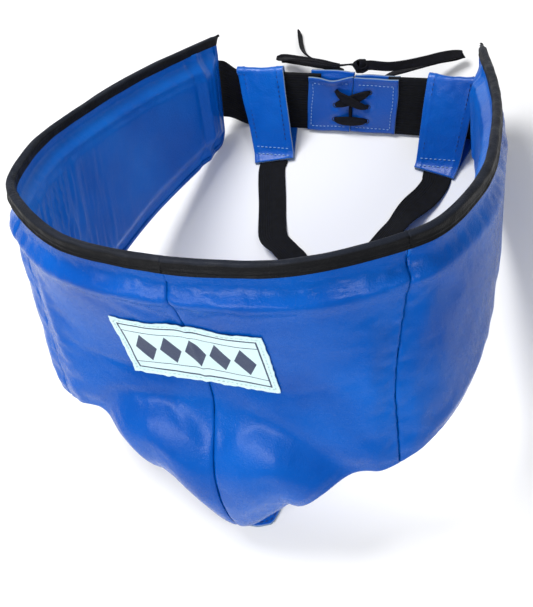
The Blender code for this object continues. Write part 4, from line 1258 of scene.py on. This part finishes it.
def build_tab_stitches(side, sign):
    share = np.linspace(0.0, 1.0, 40)
    rows = {
        "top": (0.10 + 0.80 * share, 0.87 + 0.012 * noise(share * 5.0, 0.0, 51.0 + sign)),
        "outer": (0.90 + 0.015 * noise(share * 6.0, 0.0, 52.0 + sign), 0.09 + 0.78 * share),
        "bottom": (0.10 + 0.80 * share, 0.085 + 0.012 * noise(share * 5.0, 0.0, 53.0 + sign)),
    }
    for label, (u, w) in rows.items():
        line = tab_face(u, w, sign, 0.05 * MM)
        up = repeated(-BAND_OUT, len(line))
        sewing = stitches(f"tab_thread_{label}_{side}", line, up, PALE_THREAD, 1.9 * MM, 1.1 * MM, 0.3 * MM)
        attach(sewing, "root")
    for number, along in enumerate(EYELET_ROWS):
        centre = tab_face(np.array([LACING_REACH / TAB_WIDTH]), np.array([along / BAND_WIDTH]), sign, 0.0)[0]
        turn = np.linspace(0.0, 2.0 * math.pi, 25)
        ring = centre + 2.0 * MM * (np.cos(turn)[:, None] * np.array((1.0, 0.0, 0.0))
                                    + np.sin(turn)[:, None] * BAND_UP)
        outward = repeated(-BAND_OUT, len(ring))
        tangent = unit(np.gradient(ring, axis=0))
        piece = strip(f"eyelet_{side}_{number}", ring, np.cross(tangent, outward), 1.3 * MM, 0.7 * MM,
                      [EYELET_DARK], columns=3, rounding=0.9)
        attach(piece, "root")


def lace_run(name, start, end, over, width, node_name):
    """A stretch of flat lace over the tabs, wide in the middle and drawn in at the eyelets."""
    share = np.linspace(-0.04, 1.04, 41)
    x, along = between((start[0], end[0]), share), between((start[1], end[1]), share)
    arch = np.sqrt(np.clip(1.0 - (2.0 * share - 1.0) ** 4, 0.0, 1.0))
    out = -(3.0 * MM + over * arch) + 2.2 * MM * (1.0 - arch)
    route = tab_point(TAB_CENTRE + x, along, out)
    tangent = unit(np.gradient(route, axis=0))
    across = np.cross(tangent, -BAND_OUT)
    widths = width * (0.34 + 0.66 * np.clip(1.0 - (2.0 * share - 1.0) ** 2, 0.0, 1.0) ** 0.6)
    piece = strip(name, route, across, widths, 2.1 * MM, [LACE], columns=6, rounding=0.9)
    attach(piece, "root")
    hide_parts(node_name)


def build_lacing():
    low, middle, top = EYELET_ROWS
    reach = LACING_REACH
    lace_run("lacing_under", (-reach, middle), (reach, top), 0.5 * MM, 8.0 * MM, "lace_cross_under")
    lace_run("lacing_over", (-reach, top), (reach, middle), 2.8 * MM, 8.0 * MM, "lace_cross_over")
    lace_run("lacing_bar", (-reach, low), (reach, low + 0.5 * MM), 0.8 * MM, 8.5 * MM, "lace_bar")
    lace_run("lacing_riser", (0.0, low + 1.0 * MM), (-0.5 * MM, middle + 3.0 * MM), 0.3 * MM, 3.0 * MM,
             "lace_riser")


# ---------------------------------------------------------------- belt loops and leg straps
def loop_section():
    """The side view of a belt loop: under the band, up behind it, over it and down to the hem."""
    half = 0.5 * LOOP_LEATHER
    clear = 0.5 * BAND_THICKNESS + 0.7 * MM + half
    back_low = band_point(0.0, 0.0, clear)
    hem_y = BAND_BOTTOM[0] - LOOP_DEPTH
    floor = half + 0.05 * MM
    above = floor + LOOP_LEATHER + 0.25 * MM
    corners = [(hem_y, floor), (hem_y + 10.0 * MM, floor), (back_low[1], floor),
               (back_low[1] + 3.5 * MM, floor + 1.2 * MM), (back_low[1] + 5.0 * MM, 6.0 * MM)]
    for turn in range(6):
        angle = math.pi * turn / 5
        fold = band_point(0.0, BAND_WIDTH + 0.5 * MM + clear * math.sin(angle), clear * math.cos(angle))
        corners.append((fold[1], fold[2]))
    corners += [(hem_y + 29.0 * MM, 29.0 * MM), (hem_y + 12.0 * MM, above + 6.5 * MM),
                (hem_y + 6.0 * MM, above + 1.2 * MM), (hem_y, above)]
    return np.array(corners)


def finer(corners, spacing):
    """The section again with close points, smoothed a little."""
    lengths = along_route(corners)
    s = np.linspace(0.0, lengths[-1], max(2, int(lengths[-1] / spacing)))
    fine = np.stack([np.interp(s, lengths, corners[:, k]) for k in range(corners.shape[1])], -1)
    for _ in range(6):
        fine[1:-1] = 0.5 * fine[1:-1] + 0.25 * (fine[:-2] + fine[2:])
    return fine


def loop_route(side, shift=0.0):
    """Centre line of a loop, its width there, and the direction out of the leather."""
    section = finer(loop_section(), 1.2 * MM)
    centre = LOOP_CENTRES[side]
    inward = -1.0 if centre > 0.0 else 1.0
    top_y, hem_y = section[:, 0].max(), section[:, 0].min()
    fall = (top_y - section[:, 0]) / (top_y - hem_y)
    width = LOOP_WIDTH + (LOOP_HEM_WIDTH - LOOP_WIDTH) * fall
    sideways = centre + inward * LOOP_LEAN_IN * fall + shift * width
    route = np.stack((sideways, section[:, 0], section[:, 1]), -1)
    tangent = unit(np.gradient(section, axis=0))
    out = np.stack((np.zeros(len(section)), tangent[:, 1], -tangent[:, 0]), -1)
    return route, width, out


def loop_relief(side, total):
    """The relief of a loop's leather: two sewn grooves, a soft lie, fine grain and a curled edge."""
    seed = len(side)

    def relief(along, share):
        groove = 0.35 * MM * bell(np.abs(share) - 0.72, 0.05)
        lie = 0.5 * MM * ramp((total - along) / (16.0 * MM))
        soft = lie * noise(along / (24.0 * MM), 1.2 * share, 3.0 + seed)
        fine = 0.22 * MM * noise(along / (5.0 * MM), 4.0 * share, 13.0 + seed)
        curled = 0.5 * MM * (np.abs(share) > 0.9) * noise(along / (17.0 * MM), 0.0, 31.0)
        return soft + fine + curled - groove
    return relief


def build_loops():
    for side in ("left", "right"):
        route, width, out = loop_route(side)
        across = repeated((1.0, 0.0, 0.0), len(route))
        relief = loop_relief(side, along_route(route)[-1])
        piece = strip("loop_leather_" + side, route, across, width, LOOP_LEATHER,
                      [BLUE_STRIP, RAW_EDGE], columns=40, relief=relief, edge_slot=1, rounding=0.25)
        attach(piece, "loop_" + side)
        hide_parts("belt_loop_" + side)
        sew_loop(side, route, out)


def sew_loop(side, route, out):
    """Two rows of dark thread down a loop's front and two pale rows across its hem."""
    total = along_route(route)
    first = int(np.flatnonzero(total > 0.5 * total[-1])[0]) + 6
    for label, share in (("inner", -0.36), ("outer", 0.36)):
        line, _, up = loop_route(side, share)
        face = line[first:-14] + up[first:-14] * (0.5 * LOOP_LEATHER + 0.25 * MM)
        sewing = stitches(f"loop_thread_{label}_{side}", face, up[first:-14], DARK_THREAD,
                          2.3 * MM, 1.2 * MM, 0.32 * MM)
        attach(sewing, "loop_" + side)
    for number, back_by in enumerate((4, 9)):
        share = np.linspace(-0.42, 0.42, 30)
        line = np.array([loop_route(side, k)[0][-1 - back_by] for k in share])
        up = repeated(out[-1 - back_by], len(share))
        face = line + up * (0.5 * LOOP_LEATHER + 0.4 * MM)
        sewing = stitches(f"hem_thread_{number}_{side}", face, up, PALE_THREAD, 2.2 * MM, 1.0 * MM, 0.34 * MM)
        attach(sewing, "loop_" + side)


def build_straps():
    middle = 0.5 * STRAP_THICKNESS + 0.2 * MM
    for side, points in STRAP_ROUTES_MM.items():
        route = smooth_route([(x, y, middle / MM) for x, y in points], 2.5 * MM)
        start = route[0] + np.array((0.0, 8.0 * MM, 0.0))
        lead = np.linspace(0.0, 1.0, 5)[:-1, None]
        route = np.vstack((start + (route[0] - start) * lead, route))
        tangent = unit(np.gradient(route, axis=0))
        across = np.stack((tangent[:, 1], -tangent[:, 0], np.zeros(len(route))), -1)
        along = along_route(route)
        wave = 1.6 * MM * (1.0 + np.sin(along / (19.0 * MM) + (0.0 if side == "left" else 2.0)))
        free = ramp((along - 12.0 * MM) / (30.0 * MM)) * ramp((along[-1] - along) / (40.0 * MM))
        route[:, 2] += wave * free
        if side == "right":
            tilt = 0.5 * bell(along - 95.0 * MM, 22.0 * MM)
        else:
            tilt = -0.45 * bell(along - 62.0 * MM, 16.0 * MM)
        route[:, 2] += 0.5 * STRAP_WIDTH * np.abs(np.sin(tilt))
        across = unit(across * np.cos(tilt)[:, None] + np.array((0.0, 0.0, 1.0)) * np.sin(tilt)[:, None])

        def relief(length, share):
            return 0.4 * MM * noise(length / (26.0 * MM), share, 5.0) * ramp(length / (20.0 * MM))
        piece = strip("leg_webbing_" + side, route, across, STRAP_WIDTH, STRAP_THICKNESS, [STRAP_WEB],
                      columns=16, relief=relief, rounding=0.8)
        lift_over_table(piece)
        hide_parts("leg_strap_" + side)
        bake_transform(piece)


def build_tail():
    """The crotch tail: two plies of leather with rounded corners, sewn round its edge."""
    outline = np.array(TAIL_OUTLINE_MM) * MM
    closed = np.vstack((outline, outline[:1]))
    lengths = along_route(closed)
    s = np.linspace(0.0, lengths[-1], 161)[:-1]
    ring = np.stack([np.interp(s, lengths, closed[:, k]) for k in range(2)], -1)
    for _ in range(3):
        ring = 0.5 * ring + 0.25 * (np.roll(ring, 1, 0) + np.roll(ring, -1, 0))
    centre = ring.mean(0)
    points, faces, slots = [], [], []
    # Share of the outline and of the thickness, from the bottom edge up over the sewn groove.
    levels = ((0.985, 0.15), (1.0, 0.5), (0.985, 0.97), (0.96, 1.0), (0.93, 0.93),
              (0.90, 1.0), (0.6, 1.02), (0.25, 1.03))
    for scale, height in levels:
        inner = centre + (ring - centre) * scale
        points += [(x, y, TAIL_THICKNESS * height) for x, y in inner]
    n = len(ring)
    for level in range(len(levels) - 1):
        for k in range(n):
            a, b = level * n + k, level * n + (k + 1) % n
            faces.append((a, b, b + n, a + n))
            slots.append(1 if level < 2 else 0)
    points += [(centre[0], centre[1], TAIL_THICKNESS * 1.03), (centre[0], centre[1], 0.1 * MM)]
    top, bottom = len(points) - 2, len(points) - 1
    last = (len(levels) - 1) * n
    for k in range(n):
        faces.append((last + k, last + (k + 1) % n, top))
        slots.append(0)
        faces.append((bottom, (k + 1) % n, k))
        slots.append(0)
    piece = make_mesh("tail_leather", np.array(points), faces, [BLUE_STRIP, RAW_EDGE], slots)
    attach(piece, "root")
    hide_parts("crotch_tail")
    rim = centre + (ring - centre) * 0.93
    line = np.column_stack((rim, np.full(n, 0.93 * TAIL_THICKNESS)))
    up = repeated((0.0, 0.0, 1.0), n)
    sewing = stitches("tail_thread", line, up, DARK_THREAD)
    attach(sewing, "root")


# ---------------------------------------------------------------- stage
def area_light(name, place, target, size, power, wide=1.0):
    """A soft light, wide times as wide as it is high."""
    data = bpy.data.lights.new(name, "AREA")
    data.shape = "ELLIPSE"
    data.size = size * wide
    data.size_y = size
    data.energy = power
    light = bpy.data.objects.new(name, data)
    bpy.context.scene.collection.objects.link(light)
    light.location = place
    light.rotation_euler = (Vector(target) - Vector(place)).to_track_quat("-Z", "Y").to_euler()


def make_stage():
    floor = bpy.data.meshes.new("floor")
    shape = bmesh.new()
    bmesh.ops.create_grid(shape, x_segments=1, y_segments=1, size=6.0)
    shape.to_mesh(floor)
    shape.free()
    material, _, shader = new_material("floor_white", 0.6)
    shader.inputs["Base Color"].default_value = (0.90, 0.90, 0.90, 1.0)
    shader.inputs["Specular IOR Level"].default_value = 0.2
    floor.materials.append(material)
    made = bpy.data.objects.new("floor", floor)
    bpy.context.scene.collection.objects.link(made)
    world = bpy.data.worlds.new("studio")
    bpy.context.scene.world = world
    world.use_nodes = True
    world.node_tree.nodes["Background"].inputs["Color"].default_value = (1.0, 1.0, 1.0, 1.0)
    world.node_tree.nodes["Background"].inputs["Strength"].default_value = 0.38
    area_light("key", (-0.40, 0.25, 1.20), (0.0, -0.03, 0.08), 0.60, 13.0)
    area_light("window", (-0.26, -1.00, 0.80), (0.0, -0.08, 0.16), 0.24, 9.5, wide=4.4)
    area_light("fill", (0.75, -0.40, 0.95), (0.0, -0.05, 0.1), 0.3, 3.5)
    bpy.context.scene.view_settings.view_transform = "Standard"


def finish_cup():
    """The steel cup stays the CAD's own, hidden in the padding."""
    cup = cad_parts["cup_shell"]
    material = brushed_steel()
    cup.data.materials.clear()
    cup.data.materials.append(material)


make_camera()
build_lace_ends()
build_knot()
build_shell()
build_patch()
build_elastics()
build_tabs()
build_lacing()
build_loops()
build_straps()
build_tail()
finish_cup()
make_stage()
